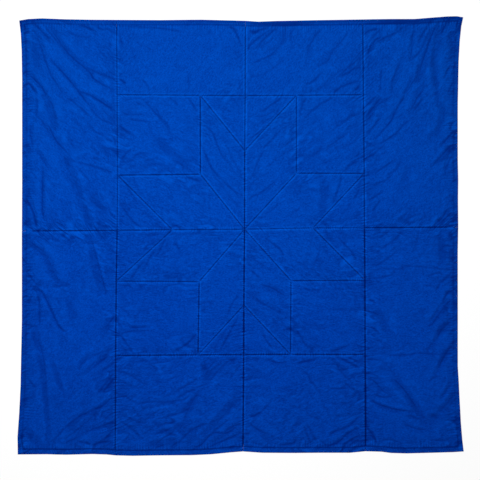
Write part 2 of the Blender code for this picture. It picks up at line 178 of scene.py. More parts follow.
# Main folds, in millimetres: soft troughs from one end past a middle point to the other end
Fold = namedtuple("Fold", "x0 y0 xm ym x1 y1 wide deep")
FOLDS = (
    # Fan from the top left corner
    Fold(-940, 968, -895, 922, -850, 880, 12, 5.0),
    Fold(-872, 970, -826, 888, -748, 800, 16, 7.0),
    Fold(-748, 800, -680, 724, -575, 660, 14, 5.0),
    Fold(-745, 805, -660, 755, -580, 725, 12, 4.0),
    Fold(-862, 805, -805, 742, -738, 660, 14, 5.0),
    Fold(-738, 655, -690, 605, -650, 550, 14, 6.0),
    Fold(-738, 660, -650, 628, -575, 575, 12, 5.0),
    Fold(-955, 950, -915, 870, -892, 780, 18, 5.0),
    Fold(-880, 760, -825, 660, -730, 590, 20, 4.0),
    # Upper left panel
    Fold(-982, 750, -925, 700, -885, 640, 15, 7.0),
    Fold(-885, 640, -872, 570, -845, 500, 22, 6.0),
    Fold(-945, 550, -958, 500, -960, 440, 10, 6.0),
    Fold(-920, 545, -875, 470, -808, 400, 18, 6.0),
    Fold(-808, 400, -795, 320, -745, 200, 30, 7.0),
    Fold(-970, 392, -925, 385, -878, 308, 12, 7.0),
    Fold(-904, 290, -908, 200, -902, 90, 12, 6.0),
    Fold(-980, 210, -950, 130, -935, 45, 10, 7.0),
    Fold(-740, 160, -710, 110, -693, 40, 14, 6.0),
    Fold(-700, 240, -655, 160, -625, 90, 25, 4.0),
    # Lower left panel
    Fold(-948, -40, -880, -115, -850, -215, 24, 8.0),
    Fold(-955, -242, -890, -285, -860, -360, 10, 6.0),
    Fold(-860, -360, -838, -412, -797, -448, 9, 6.0),
    Fold(-690, 12, -676, -80, -648, -165, 14, 5.0),
    Fold(-935, -430, -928, -485, -900, -540, 16, 6.0),
    Fold(-904, -540, -902, -620, -895, -700, 12, 5.0),
    Fold(-790, -300, -770, -345, -755, -400, 22, 4.0),
    Fold(-578, -510, -640, -562, -700, -620, 12, 6.0),
    Fold(-660, -535, -712, -562, -748, -610, 14, 5.0),
    Fold(-582, -735, -655, -792, -790, -842, 12, 6.0),
    Fold(-655, -800, -705, -855, -800, -920, 22, 5.0),
    Fold(-590, -860, -680, -885, -850, -945, 18, 6.0),
    # Fan from the top right corner
    Fold(806, 965, 786, 900, 774, 800, 12, 5.0),
    Fold(920, 980, 876, 930, 855, 850, 12, 7.0),
    Fold(855, 850, 832, 790, 815, 700, 22, 6.0),
    Fold(900, 905, 888, 800, 895, 680, 18, 6.0),
    Fold(758, 840, 722, 762, 696, 655, 16, 5.0),
    Fold(640, 910, 606, 880, 582, 800, 10, 5.0),
    Fold(645, 650, 612, 590, 590, 520, 12, 5.0),
    Fold(768, 648, 728, 592, 655, 505, 14, 6.0),
    # Upper right panel
    Fold(985, 475, 955, 452, 925, 430, 10, 6.0),
    Fold(975, 415, 940, 388, 880, 320, 10, 7.0),
    Fold(965, 385, 945, 340, 930, 285, 10, 5.0),
    Fold(968, 125, 932, 92, 900, 65, 10, 6.0),
    # Lower right panel
    Fold(972, -275, 918, -325, 862, -408, 12, 8.0),
    Fold(965, -380, 930, -432, 875, -505, 14, 7.0),
    Fold(975, -505, 940, -555, 888, -640, 14, 8.0),
    Fold(968, -655, 942, -706, 915, -745, 10, 6.0),
    Fold(985, -745, 930, -800, 860, -850, 25, 6.0),
    Fold(620, -575, 690, -622, 735, -690, 26, 4.0),
    Fold(710, -690, 768, -728, 830, -820, 14, 7.0),
    Fold(610, -758, 680, -796, 800, -808, 12, 7.0),
    Fold(750, -860, 800, -884, 870, -884, 14, 5.0),
    Fold(582, -640, 632, -690, 700, -735, 22, 4.0),
    # Bottom panels
    Fold(5, -745, -55, -792, -120, -880, 18, 6.0),
    Fold(-170, -700, -222, -762, -262, -850, 14, 4.0),
    Fold(-110, -900, -165, -935, -200, -965, 10, 5.0),
    Fold(530, -890, 480, -922, 410, -960, 14, 6.0),
    # Top right end panel
    Fold(170, 957, 115, 915, 70, 850, 12, 3.0),
    Fold(365, 950, 318, 880, 305, 760, 14, 2.0),
    Fold(475, 920, 420, 850, 335, 775, 14, 2.5),
    Fold(430, 655, 470, 690, 525, 712, 10, 3.0),
    # Corner squares of the star block
    Fold(-560, 575, -500, 562, -435, 557, 10, 2.0),
    Fold(-395, 610, -360, 530, -312, 455, 14, 2.0),
    Fold(-430, 480, -340, 405, -245, 325, 18, 2.0),
    Fold(-555, 342, -480, 358, -400, 380, 10, 2.0),
    Fold(490, 480, 420, 430, 310, 370, 14, 2.0),
    Fold(495, -502, 445, -520, 400, -540, 10, 2.4),
    Fold(-505, -420, -460, -415, -410, -420, 10, 2.0),
)

# Smaller creases by kind, each a path from one end to the other: x and y, point after point. A kind's line
# is the strength of a painted line of shade along it, its shaded flank that of painted shade beside it
Kind = namedtuple("Kind", "wide deep line flank")
CREASES = {
    Kind(wide=8.5, deep=2.6, line=0.62, flank=0.18): (
        # Top left panel
        (-877, 967, -796, 844, -693, 752, -670, 718, -570, 660), (-879, 818, -773, 701, -693, 597),
        (-965, 738, -917, 689, -882, 632), (-977, 703, -960, 690, -934, 652), (-942, 970, -871, 898),
        (-739, 964, -710, 959, -664, 939), (-739, 663, -676, 638, -570, 569),
        # Upper left panel
        (-882, 511, -845, 437, -802, 388), (-905, 322, -908, 150, -902, 81),
        (-983, 173, -948, 104, -934, 35),
        # Lower left panel
        (-960, -238, -922, -250, -899, -273, -836, -405, -802, -439), (-607, -548, -664, -594),
        (-576, -365, -619, -422), (-584, -734, -641, -783, -733, -823, -808, -881),
        (-578, -855, -619, -863, -710, -898), (-590, -938, -659, -950, -676, -967),
        # Top right panel
        (897, 960, 880, 931, 834, 805, 814, 725), (946, 977, 915, 925), (648, 642, 588, 564),
        (565, 925, 593, 943, 639, 951), (642, 911, 616, 897, 593, 862, 582, 828),
        (708, 570, 691, 530, 662, 495),
        # Upper right panel
        (995, 472, 966, 467, 912, 409), (992, 421, 966, 412, 943, 392, 874, 315),
        (949, 128, 926, 88, 903, 65),
        # Lower right panel
        (588, -290, 616, -302), (972, -256, 949, -259, 920, -313),
        (972, -284, 932, -324, 880, -399, 852, -413), (966, -388, 926, -422, 892, -479),
        (972, -508, 949, -525, 897, -617), (978, -732, 915, -800), (697, -651, 748, -703, 829, -823),
        (599, -749, 622, -766, 691, -789, 794, -806), (768, -820, 823, -838),
        (582, -881, 605, -909, 628, -955),
        # Bottom end panels
        (0, -862, -30, -870, -75, -898), (-290, -945, -322, -972), (500, -940, 520, -930),
        (-19, -875, -48, -895, -77, -904, -129, -904, -180, -955, -209, -970), (-2, -904, -157, -972),
        (-25, -964, -54, -970), (-352, -955, -392, -972), (545, -823, 497, -869, 428, -898, 405, -915),
        (545, -875, 485, -909, 457, -938, 428, -955, 399, -961), (545, -932, 520, -944, 502, -961),
        (43, -826, 66, -823, 100, -803), (253, -932, 238, -950, 175, -958), (255, -583, 347, -565),
        (451, -554, 545, -606),
        # Top end panels
        (-60, 958, -37, 954, -22, 935, 3, 872), (43, 936, 66, 931, 89, 945, 129, 954),
        (40, 940, 70, 938, 95, 950), (543, 713, 474, 690, 445, 673, 428, 655), (545, 690, 525, 667),
        (-553, 718, -524, 698),
        # The block's upper half
        (-323, 53, -295, 48, -272, 30), (545, 345, 514, 334, 491, 317, 474, 294),
        # The block's lower half
        (-507, -419, -427, -416), (-203, -451, -249, -497, -312, -531), (95, -221, 146, -239, 210, -279),
        (410, -531, 494, -502),
    ),
    Kind(wide=7.5, deep=1.7, line=0.43, flank=0.12): (
        # Top left panel
        (-727, 784, -659, 749, -570, 718), (-902, 967, -808, 850), (-693, 597, -647, 540, -570, 506),
        (-954, 947, -925, 896, -882, 770, -834, 683, -802, 640), (-940, 638, -931, 603, -937, 552),
        (-664, 967, -636, 947, -601, 947, -575, 918), (-802, 632, -773, 620, -682, 540),
        # Upper left panel
        (-934, 546, -911, 529, -877, 471), (-960, 511, -963, 466, -951, 408),
        (-773, 345, -636, 308, -590, 288), (-705, 529, -682, 494, -659, 474, -624, 463),
        (-619, 448, -584, 431), (-925, 380, -877, 305),
        # Lower left panel
        (-983, -161, -940, -216, -917, -230), (-957, -230, -911, -231), (-871, -231, -779, -228),
        (-934, -261, -922, -307, -922, -410), (-997, -405, -922, -417),
        (-937, -451, -905, -550, -888, -697), (-693, 19, -624, -233, -619, -273), (-584, -517, -699, -551),
        (-596, -519, -659, -588, -705, -623), (-699, -560, -722, -577, -739, -605),
        (-578, -628, -664, -732), (-580, -651, -632, -720), (-578, -580, -636, -617),
        (-653, -789, -687, -835, -813, -938), (-808, -881, -836, -915, -865, -938),
        (-710, -898, -756, -927, -802, -944), (-584, -886, -619, -927, -676, -967),
        (-750, -938, -687, -955), (-894, -909, -877, -961), (-980, -646, -940, -697),
        # Top right panel
        (797, 951, 788, 920, 780, 828, 768, 802), (874, 960, 823, 851, 777, 802), (860, 971, 811, 885),
        (745, 831, 702, 730, 694, 702, 691, 650), (794, 748, 760, 673, 743, 650), (751, 644, 708, 570),
        (662, 495, 616, 444), (700, 644, 634, 604, 576, 547),
        (777, 530, 748, 513, 720, 478, 691, 455, 616, 409), (725, 937, 645, 902),
        (748, 960, 714, 931, 680, 914), (989, 776, 955, 771, 932, 725), (972, 702, 949, 656),
        # Upper right panel
        (932, 576, 926, 530, 912, 501), (972, 375, 955, 346, 932, 283), (972, 111, 938, 82, 915, 48),
        (702, 346, 616, 289), (639, 163, 605, 111),
        # Lower right panel
        (685, 25, 651, 2, 599, -15), (737, 25, 708, -15, 622, -72), (714, -72, 634, -130, 599, -130),
        (645, 19, 605, 2), (651, -150, 737, -150, 760, -136, 972, -155), (708, -161, 685, -181, 611, -195),
        (863, -181, 915, -164), (972, -164, 920, -210, 892, -256), (892, -479, 863, -508, 852, -537),
        (972, -674, 949, -697, 920, -743), (915, -640, 880, -651, 863, -669),
        (748, -863, 817, -884, 857, -886), (593, -411, 639, -448), (582, -565, 616, -565, 657, -574),
        (645, -544, 765, -545, 816, -537, 920, -543), (599, -657, 622, -674, 651, -709, 697, -732),
        (610, -722, 645, -737, 680, -736, 700, -726), (634, -938, 685, -932, 737, -947),
        (863, -932, 949, -938), (573, -600, 577, -950),
        # By the right seam
        (645, 644, 577, 552), (651, 558, 577, 460), (620, 640, 577, 600), (600, 495, 579, 472),
        (674, 409, 640, 403, 611, 374, 582, 363), (731, 340, 720, 317, 697, 294, 668, 277),
        (691, 277, 663, 254, 605, 237), (657, 208, 588, 163), (800, 724, 757, 655),
        (840, 673, 812, 638, 771, 558), (645, 770, 637, 650), (680, 919, 619, 885),
        (645, 948, 617, 925, 577, 873), (840, 640, 790, 570),
        # Bottom end panels
        (0, -735, -95, -840, -118, -875), (553, -740, 500, -785), (290, -870, 320, -950),
        (130, -570, 170, -580, 210, -578), (-20, -565, -71, -583, -151, -674),
        (-190, -705, -240, -795, -262, -850), (545, -912, 470, -955), (-553, -620, -500, -640, -440, -680),
        (-157, -863, -186, -869, -237, -898, -306, -972), (-300, -898, -358, -927, -409, -975),
        (-312, -760, -409, -760, -478, -772), (-232, -726, -260, -749, -300, -755, -323, -766),
        (-232, -783, -266, -806, -364, -835), (-300, -846, -323, -858, -358, -863, -386, -875),
        (-312, -875, -346, -892, -404, -909), (-553, -846, -501, -881, -450, -932),
        (-553, -732, -524, -737, -501, -755, -478, -760), (-197, -646, -220, -669, -306, -714),
        (-209, -703, -243, -714, -300, -749), (-111, -565, -151, -611), (-467, -571, -421, -571),
        (-48, -835, -134, -904), (100, -800, 141, -757), (37, -858, 89, -892, 129, -909),
        (49, -944, 106, -961), (261, -600, 307, -634, 319, -663, 342, -686, 353, -709),
        (175, -577, 204, -571), (416, -557, 439, -583, 456, -617, 514, -674), (491, -554, 545, -583),
        (410, -697, 451, -700, 485, -694), (474, -669, 508, -697, 545, -714), (301, -858, 353, -950),
        # Top end panels
        (175, 959, 118, 913, 66, 856), (-553, 962, -381, 953, -260, 936),
        (129, 942, 66, 896, 43, 873, 32, 850), (158, 850, 135, 827, 43, 787),
        (497, 948, 474, 908, 416, 839, 399, 804, 336, 770), (545, 816, 451, 736),
        (545, 773, 514, 764, 491, 747, 433, 724), (376, 753, 330, 707, 301, 695),
        (382, 959, 353, 931, 330, 896, 313, 862, 301, 816), (-450, 718, -427, 690, -421, 667),
        (-553, 902, -536, 879),
        # The block's upper half
        (-553, 512, -536, 489, -472, 449), (-501, 397, -524, 380, -547, 346),
        (-536, 340, -501, 346, -478, 374, -444, 380, -415, 377), (-180, 420, -129, 305, -77, 254),
        (-553, 254, -530, 242, -472, 151), (192, 495, 100, 397), (301, 632, 284, 604, 273, 569),
        (545, 220, 520, 168), (192, 638, 95, 569), (420, 640, 390, 615, 360, 600, 275, 525),
        (-400, 595, -381, 575, -370, 546, -341, 518, -318, 478), (-553, 575, -518, 558, -438, 558),
        (-513, 535, -415, 523), (-450, 632, -352, 518, -312, 455), (-323, 632, -300, 615, -289, 598),
        (-237, 632, -203, 575), (-174, 506, -146, 495, -123, 460, -94, 386, -54, 329),
        (-83, 254, -25, 202, -8, 179), (-553, 151, -501, 76, -450, 33), (-243, 271, -180, 248),
        (112, 392, 89, 363, 49, 265), (244, 449, 204, 415), (192, 283, 100, 202, 60, 185, 37, 168),
        (531, 552, 502, 546, 410, 477), (508, 489, 416, 420, 319, 368), (545, 386, 531, 363),
        (545, 311, 531, 288), (462, 283, 456, 242, 428, 162),
        # The block's lower half
        (-530, -439, -421, -433), (-553, -451, -490, -537), (-8, -273, -37, -307, -65, -376),
        (-14, -376, -100, -537), (43, -153, 89, -193), (72, -284, 89, -302, 187, -353),
        (118, -15, 181, -61, 198, -95), (95, -433, 118, -479, 146, -514), (255, -428, 296, -497, 319, -514),
        (439, 2, 508, -72, 531, -112), (-341, -3, -381, -89), (-306, -26, -278, -66),
        (-398, -66, -450, -164), (-444, -118, -478, -158, -501, -198),
    ),
    Kind(wide=9.0, deep=1.0, line=0.26, flank=0.04): (
        # Side panels
        (-877, 970, -851, 944, -819, 927, -791, 921), (-819, 941, -705, 907), (-607, 752, -570, 741),
        (-762, 334, -705, 265, -682, 225), (-796, 494, -762, 391), (-762, 540, -705, 460),
        (-945, 394, -925, 385, -928, 368), (-988, 58, -968, 53, -951, 27), (-641, -9, -578, -78),
        (-750, -709, -796, -743), (-756, -646, -808, -735), (-813, -749, -836, -789),
        (-800, -411, -709, -400), (823, 685, 806, 662, 777, 587), (800, 971, 754, 960, 731, 948),
        (817, 25, 800, -66), (645, -152, 582, -173), (703, 541, 748, 558), (674, 329, 640, 306, 605, 300),
        (645, 237, 588, 231), (577, 780, 590, 800, 597, 830), (597, 552, 582, 529),
        # Bottom end panels
        (-553, -823, -518, -829, -444, -863), (-507, -623, -450, -651, -427, -680),
        (-507, -674, -484, -697, -415, -703), (20, -660, 60, -650), (20, -745, 52, -735),
        (22, -772, 50, -765), (20, -700, 44, -692), (20, -880, 48, -868), (22, -622, 48, -612),
        (-190, -600, -170, -575, -140, -560), (-250, -570, -260, -600), (-2, -588, -48, -657),
        (-226, -554, -255, -611), (319, -640, 350, -646),
        (365, -686, 365, -726, 376, -766, 405, -812, 416, -846), (250, -749, 278, -778),
        (273, -812, 336, -829, 359, -841), (278, -915, 296, -938, 301, -961), (359, -932, 399, -961),
        (26, -571, 72, -565, 129, -571), (37, -588, 100, -628), (30, -640, 60, -650, 90, -646),
        (40, -700, 80, -690, 120, -700), (160, -690, 200, -700, 240, -694),
        (-460, -600, -420, -610, -380, -600), (-400, -660, -360, -670, -320, -660),
        (-180, -740, -160, -760, -150, -790), (60, -760, 30, -764), (400, -760, 440, -770, 480, -764),
        (430, -820, 470, -826, 510, -810),
        # Top end panels
        (227, 948, 238, 845), (210, 908, 152, 839), (439, 747, 410, 724, 359, 667), (336, 678, 313, 655),
        (-484, 896, -398, 845), (-501, 850, -478, 799), (-243, 747, -237, 701, -240, 661),
        (-352, 696, -332, 667), (190, 800, 100, 740, 35, 730), (210, 940, 180, 880, 120, 845),
        (430, 740, 400, 700, 370, 680, 330, 665), (545, 775, 460, 760, 400, 700, 380, 670),
        (160, 915, 100, 870, 70, 860), (-60, 700, -40, 690, -20, 690), (-400, 690, -390, 670),
        (-150, 950, -130, 925, -120, 900), (-300, 780, -270, 770, -240, 772),
        (-470, 790, -440, 780, -420, 760),
        # The block's upper half
        (-430, 530, -410, 477, -392, 455, -352, 440), (-553, 470, -510, 440),
        (-400, 470, -340, 440, -300, 455, -270, 440, -215, 430), (-460, 330, -420, 325, -345, 335),
        (-70, 430, -40, 360, -5, 300), (-160, 480, -125, 420), (-130, 290, -40, 170, -10, 140),
        (160, 580, 130, 560, 100, 550, 35, 545), (140, 545, 110, 525, 50, 500), (120, 500, 50, 450),
        (215, 430, 170, 410), (240, 400, 180, 370), (180, 375, 140, 330, 120, 320), (160, 240, 100, 190),
        (90, 330, 70, 290, 40, 260), (60, 250, 35, 215), (520, 640, 480, 610, 450, 600),
        (545, 560, 510, 555, 470, 530, 400, 500), (340, 530, 275, 410), (553, 520, 520, 510, 480, 480),
        (540, 440, 460, 400), (380, 470, 310, 420), (470, 370, 430, 350, 360, 330), (420, 410, 310, 360),
        (553, 250, 520, 190), (380, 150, 370, 110, 375, 95), (553, 110, 490, 70), (270, 130, 230, 100),
        (-260, 520, -240, 500, -215, 490), (-480, 620, -460, 600, -440, 596),
        (-240, 160, -210, 150, -180, 154), (-440, 190, -400, 180, -370, 184),
        (-520, 300, -500, 290, -470, 292), (-140, 190, -145, 150, -140, 110),
        (-421, 506, -404, 466, -375, 437, -335, 426, -300, 443), (-94, 397, -14, 271),
        (-54, 168, -25, 151, -8, 133), (-490, 271, -484, 242, -467, 214), (-364, 128, -323, 111),
        (-278, 76, -215, 59), (-215, 466, -200, 452), (233, 587, 224, 506), (313, 472, 290, 420),
        (416, 632, 353, 592, 301, 541), (508, 168, 491, 128, 462, 93), (545, 99, 502, 71),
        (474, 59, 416, 48), (169, 179, 169, 151, 146, 122, 78, 76),
        # The block's lower half
        (-553, -240, -490, -215), (-440, -240, -430, -255, -410, -230), (-460, -340, -400, -325),
        (-553, -490, -520, -540), (-100, -100, -120, -190), (60, -60, 90, -80, 110, -110),
        (50, -280, 80, -300, 110, -310), (150, -330, 200, -360), (240, -460, 260, -500, 280, -520),
        (20, -120, 70, -150), (30, -250, 60, -262), (-60, -420, -100, -480, -120, -530),
        (-495, -393, -352, -388), (-553, -319, -501, -370), (-404, -307, -358, -353),
        (-438, -284, -455, -330, -495, -388), (-372, -244, -401, -284), (342, -405, 359, -422, 399, -419),
        (244, -307, 267, -342, 324, -365), (307, -302, 336, -319, 370, -325), (382, -336, 545, -339),
        (474, -210, 491, -233, 514, -244), (365, -26, 359, -78, 324, -164), (376, -49, 399, -78, 410, -112),
        (260, -120, 300, -130, 330, -124), (-260, -120, -230, -140, -200, -136),
        (-330, -180, -300, -170, -260, -176), (-150, -100, -100, -170), (37, -210, 60, -244),
        (60, -60, 130, -110), (40, -90, 110, -140), (-500, -470, -470, -480, -440, -474),
        (-330, -450, -300, -440, -270, -444), (430, -440, 470, -446, 500, -436),
        (300, -240, 340, -250, 380, -244),
        # End panels and the star's block
        (-450, 343, -415, 350, -381, 358), (-399, 325, -373, 328, -348, 332),
        (-290, 85, -262, 75, -235, 65), (-560, 80, -540, 62, -520, 45),
        (-500, -777, -475, -812, -453, -845), (-154, -572, -156, -610, -158, -649),
        (-240, -190, -215, -178, -190, -165), (-400, -325, -375, -340, -350, -355),
    ),
    Kind(wide=20.0, deep=3.2, line=0.0, flank=0.24): (
        # Side panels
        (-859, 941, -796, 844, -670, 730), (-882, 632, -848, 480), (-682, 185, -653, 133, -624, 99),
        (-945, 890, -930, 760), (-983, -881, -917, -961), (-775, -330, -760, -390),
        (-819, -451, -808, -491), (-592, -380, -641, -456), (920, 971, 906, 931, 886, 799, 897, 616),
        (960, 943, 978, 851, 969, 805), (777, 312, 743, 243), (846, 834, 812, 715), (915, -800, 863, -858),
        (662, -611, 748, -703, 811, -795, 846, -881), (611, -330, 639, -365, 674, -439, 691, -456),
        # End panels
        (-2, -737, -37, -766, -94, -829, -111, -875), (-197, -714, -237, -783, -266, -806),
        (-151, -560, -163, -623, -157, -657), (100, -904, 129, -927, 164, -932),
        (-60, -900, -100, -935, -150, -960),
        # The star's block
        (100, -225, 150, -245, 200, -275), (-381, 437, -243, 311), (388, 271, 382, 162, 370, 116),
    ),
    Kind(wide=17.0, deep=2.8, line=0.0, flank=0.26): (
        # Side panels
        (-690, -20, -665, -150, -632, -260), (-790, -290, -772, -370), (-796, 334, -719, 133, -690, 38),
        (-872, 600, -857, 550, -855, 500, -848, 480), (-945, 890, -930, 760),
        (897, 616, 925, 575, 905, 490, 860, 440), (912, 20, 925, -90, 920, -130),
        (755, -730, 815, -810, 840, -858),
        # Bottom end panels
        (-20, -730, -140, -880, -180, -915), (-300, -930, -430, -960), (-90, -590, -140, -640, -170, -690),
        (500, -640, 420, -575),
    ),
    Kind(wide=13.0, deep=2.6, line=0.0, flank=0.40): (
        # Side panels
        (-951, -38, -899, -89, -848, -193, -819, -216, -779, -227), (-805, 375, -785, 300),
        (-905, 655, -885, 630, -860, 575), (-700, -790, -800, -900), (-955, -430, -925, -520),
        (985, 410, 950, 386, 890, 322), (-928, -540, -905, -640, -872, -950), (-870, -560, -815, -715),
        (748, -703, 845, -860), (900, -810, 975, -730), (960, -300, 880, -395),
        (950, -395, 920, -420, 880, -500), (960, -510, 930, -545, 905, -600),
        (886, 870, 884, 800, 903, 600), (826, 790, 802, 700),
    ),
    # Ridges beside creases
    Kind(wide=7.0, deep=-1.8, line=0.0, flank=0.0): (
        # Side panels
        (-888, 551, -877, 517, -854, 477), (-762, 352, -693, 331), (-968, 741, -950, 712),
        (-951, -240, -922, -256, -908, -272), (-723, -236, -655, -293), (600, -744, 691, -780),
        (702, 353, 645, 313),
    ),
    # Rolls of the top hem
    Kind(wide=9.0, deep=-2.6, line=0.0, flank=0.0): (
        (50, 982, 190, 984, 330, 987), (560, 989, 715, 993, 870, 998),
    ),
    # Trough inside the rolled stretches of the top hem
    Kind(wide=7.0, deep=3.2, line=0.62, flank=0.0): (
        (50, 968, 190, 970, 330, 973), (560, 974, 715, 978, 870, 983),
    ),
}

# Knots of gathered cloth: place, reach and rise
Knot = namedtuple("Knot", "x y reach rise")
KNOTS = (
    Knot(-987, 25, 13, 2.6),
    Knot(981, 44, 13, 2.6),
    Knot(-1003, 984, 11, 3.0),
    Knot(-1011, -990, 10, 2.0),
    Knot(1012, -977, 10, 2.0),
)

# Thickness of the cloth, in millimetres: distance from the hem's edge, thickness
HEM_THICKNESS = (
    (0.0, 1.2), (1.0, 2.3), (3.0, 3.4), (8.0, 3.9), (15.0, 4.0), (18.5, 3.7), (20.5, 3.0), (22.5, 3.0),
    (26.0, 3.4), (34.0, 3.2),
)
THINNEST = 0.55
EDGE_FADE = 5.0
KNOT_FADE = 4.0
PRESSED_FROM, PRESSED_MOST, PRESSED_SHARE = 2.0, 3.0, 0.25

# Where parts of the border begin, measured from the middle, and how soon each is full, in millimetres
BORDER = (560.0, 60.0)
SIDE_HEM = (900.0, 40.0)
TOP_HEM_BAND = (948.0, 18.0)
BOTTOM_HEM = (900.0, 40.0)
BOTTOM_STITCHES = (940.0, 30.0)
BLOCK_HALF = 555.0

# The hem's stitches, its own ribs and the puckers inside it, in millimetres
HEM_STITCH = 20.5
WIDER_BOTTOM_HEM = 4.5
HEM_FADE = 3.0
STITCH_FADE = 4.0
PAST_STITCHES = 2.0
INWARD_REACH = (16.0, 56.0)
RIB_SLANT = 0.5

# How much painted shade the rolled top hem gets from left to right: place, share
TOP_HEM = (
    (-1012, 1.4), (-984, 1.2), (-966, 0.35), (-900, 0.28), (-670, 0.10), (-440, 0.28), (20, 0.45),
    (150, 0.70), (250, 0.90), (340, 0.60), (480, 0.40), (620, 0.60), (710, 0.90), (860, 0.75),
    (940, 0.45), (1010, 0.40),
)
TOP_HEM_WIDTH = 24.0
TOP_HEM_FADE = 6.0
ROLL_DARK = 0.4
ROLL_EVEN = 0.8

# Lines of painted shade that run along the hem, and darker flecks: distance from its edge, half width and
# darkness
Band = namedtuple("Band", "away width dark")
TOP_LINE_DARK = (0.35, 0.85)
TOP_HEM_LINES = (Band(9.0, 3.2, 1.0), Band(23.0, 3.6, 1.0))
HEM_EDGE = Band(0.0, 3.5, 0.36)
DOUBLED_EDGE = Band(21.0, 5.0, 0.35)
FLECK_BAND = Band(20.0, 26.0, 1.0)
STITCH_LINE_WIDTH = 3.0
STITCH_LINE_DARK = (0.15, 1.0)
STITCH_DOTS_DARK = 0.35
DOT_MIDDLE, DOT_SWING = 0.5, 1.1
FLECK_DARK = 0.62
FLECK_LIMITS = (0.2, 1.2)
SIDE_SHADE, SIDE_SHADE_WIDTH = 0.12, 42.0

# Seams, in millimetres: a sharp crease in a soft hollow, and the folded allowance on the lower right side
SEAM_CREASE = (1.5, 2.2)
SEAM_HOLLOW = (0.3, 6.0)
SEAM_DARK_WIDTH = (2.0, 3.0)
ALLOWANCE_RISE = 0.8
ALLOWANCE_START = 1.5
ALLOWANCE_WIDTH = 9.0
SHADED_SIDE = np.array((0.707, -0.707))
SEAM_REACH = 110.0

# How much painted shade each seam gets, how much painted highlight its puffed side gets and how strongly it
# gathers the cloth, by its middle
Look = namedtuple("Look", "x y dark light pull")
UPRIGHT_SEAMS = (
    Look(-555, 500, 0.65, 1.1, 0.8), Look(-565, -500, 1.3, 1.2, 1.5), Look(0, 500, 0.9, 1.9, 0.6),
    Look(5, 200, 1.3, 1.8, 0.8), Look(0, -155, 1.6, 1.8, 0.9), Look(-5, -500, 1.7, 1.9, 1.2),
    Look(555, 500, 1.0, 1.7, 1.3), Look(555, -500, 1.5, 1.4, 1.2), Look(-185, 480, 1.15, 1.2, 0.6),
    Look(235, 480, 0.85, 1.2, 0.6), Look(-200, -380, 1.1, 1.2, 0.7), Look(205, -380, 1.0, 1.2, 0.7),
)
LEVEL_SEAMS = (
    Look(-770, 20, 1.2, 1.4, 1.2), Look(770, 35, 1.25, 1.4, 1.2), Look(-270, 20, 0.95, 1.6, 0.6),
    Look(270, 20, 0.7, 1.5, 0.6), Look(-270, 630, 0.95, 1.2, 0.6), Look(270, 630, 0.95, 1.2, 0.7),
    Look(-270, -560, 1.3, 1.7, 0.6), Look(270, -560, 1.3, 1.7, 0.6), Look(-380, 270, 1.15, 1.3, 0.6),
    Look(400, 270, 1.0, 1.2, 0.6), Look(-380, -220, 1.0, 1.2, 0.8), Look(400, -220, 1.0, 1.2, 0.8),
)
DIAGONAL_LOOK = Look(0, 0, 0.85, 1.1, 0.35)
DIAGONAL_FROM = 0.6

# Rows of small waves along a seam or the hem, in millimetres
Ripples = namedtuple("Ripples", "pitch rise seed")
PUCKERS = Ripples(10.5, 0.6, 100)
RIBS = Ripples(9.5, 0.7, 501)
INWARD_PUCKERS = Ripples(12.0, 0.7, 505)
RIPPLE_DRIFT, DRIFT_PITCHES = 3.2, 2.7
RIPPLE_STRENGTH, STRENGTH_SWING, STRENGTH_PITCHES = 0.60, 0.50, 2.1

# Shares that waver along a seam or the hem: middle, swing, pitch in millimetres
Waver = namedtuple("Waver", "middle swing pitch seed")
PUCKER_LEAN = Waver(0.0, 0.5, 60.0, 900)
PUCKER_SPREAD = Waver(0.5, 0.5, 17.0, 300)
GATHER_DRIFT = Waver(0.0, 1.6, 47.0, 1100)
GATHER_SPREAD = Waver(0.5, 0.5, 23.0, 1200)
GATHER_STRENGTH = Waver(0.45, 0.9, 33.0, 1300)
SEAM_BREADTH = Waver(1.0, 0.5, 12.0, 500)
INWARD_SPREAD = Waver(0.5, 0.5, 21.0, 503)
DOUBLED_SHARE = Waver(0.4, 1.0, 70.0, 509)
FLECK_SHARE = Waver(0.75, 0.6, 90.0, 511)

# Puckers drawn up by the stitching and longer gathers, in millimetres
PUCKER_REACH = (7.0, 38.0)
PUCKER_START = 1.5
PUCKER_AT_SEAM = 0.35
PUCKER_SHARE = (0.3, 1.0)
PUCKER_SLANT = 0.9
LEAN_LIMIT = 0.15
GATHER_PITCH = 17.0
GATHER_NARROW = 0.34
GATHER_REACH = (12.0, 95.0)
GATHER_DEPTH = 0.8
# Painted shade in the gathers' troughs
GATHER_DARK = 0.75

# A seam's painted line of shade, how it fades towards the block's ends and the hem, a painted highlight
# where it ends inside the block, and the painted highlights in beads beside it
SEAM_DARK = 0.76
SEAM_BREADTH_LIMITS = (0.4, 1.8)
BREADTH_WAVE = 0.3
HEM_CROSSING = (20.0, 22.0)
CROSSING_FADE = 12.0
CROSSING_DARK = 0.12
END_FADE = 13.0
IN_BLOCK = (30.0, 540.0)
END_DARK = 0.12
END_LIGHT = 1.0
END_REACH = 8.0
BEAD_AWAY = 5.2
BEAD_WIDTH = 3.7
BEAD_MIDDLE, BEAD_SWING, BEAD_MOST = 0.75, 0.7, 1.5
LIT_SIDE = 0.45

# Unevenness all over: size of the bumps and their height, both in millimetres, and seed
Crumple = namedtuple("Crumple", "size rise seed")
CRUMPLES = (
    Crumple(95.0, 0.95, 11),
    Crumple(40.0, 0.56, 12),
    Crumple(18.0, 0.34, 13),
)
BORDER_SLACK = 1.8
HELD_LEAST = 0.45
FLATTENED = 0.6
ROLL_UNEVEN = Crumple(22.0, 0.3, 95)
CALM_PATCHES = Crumple(130.0, 0.5, 99)
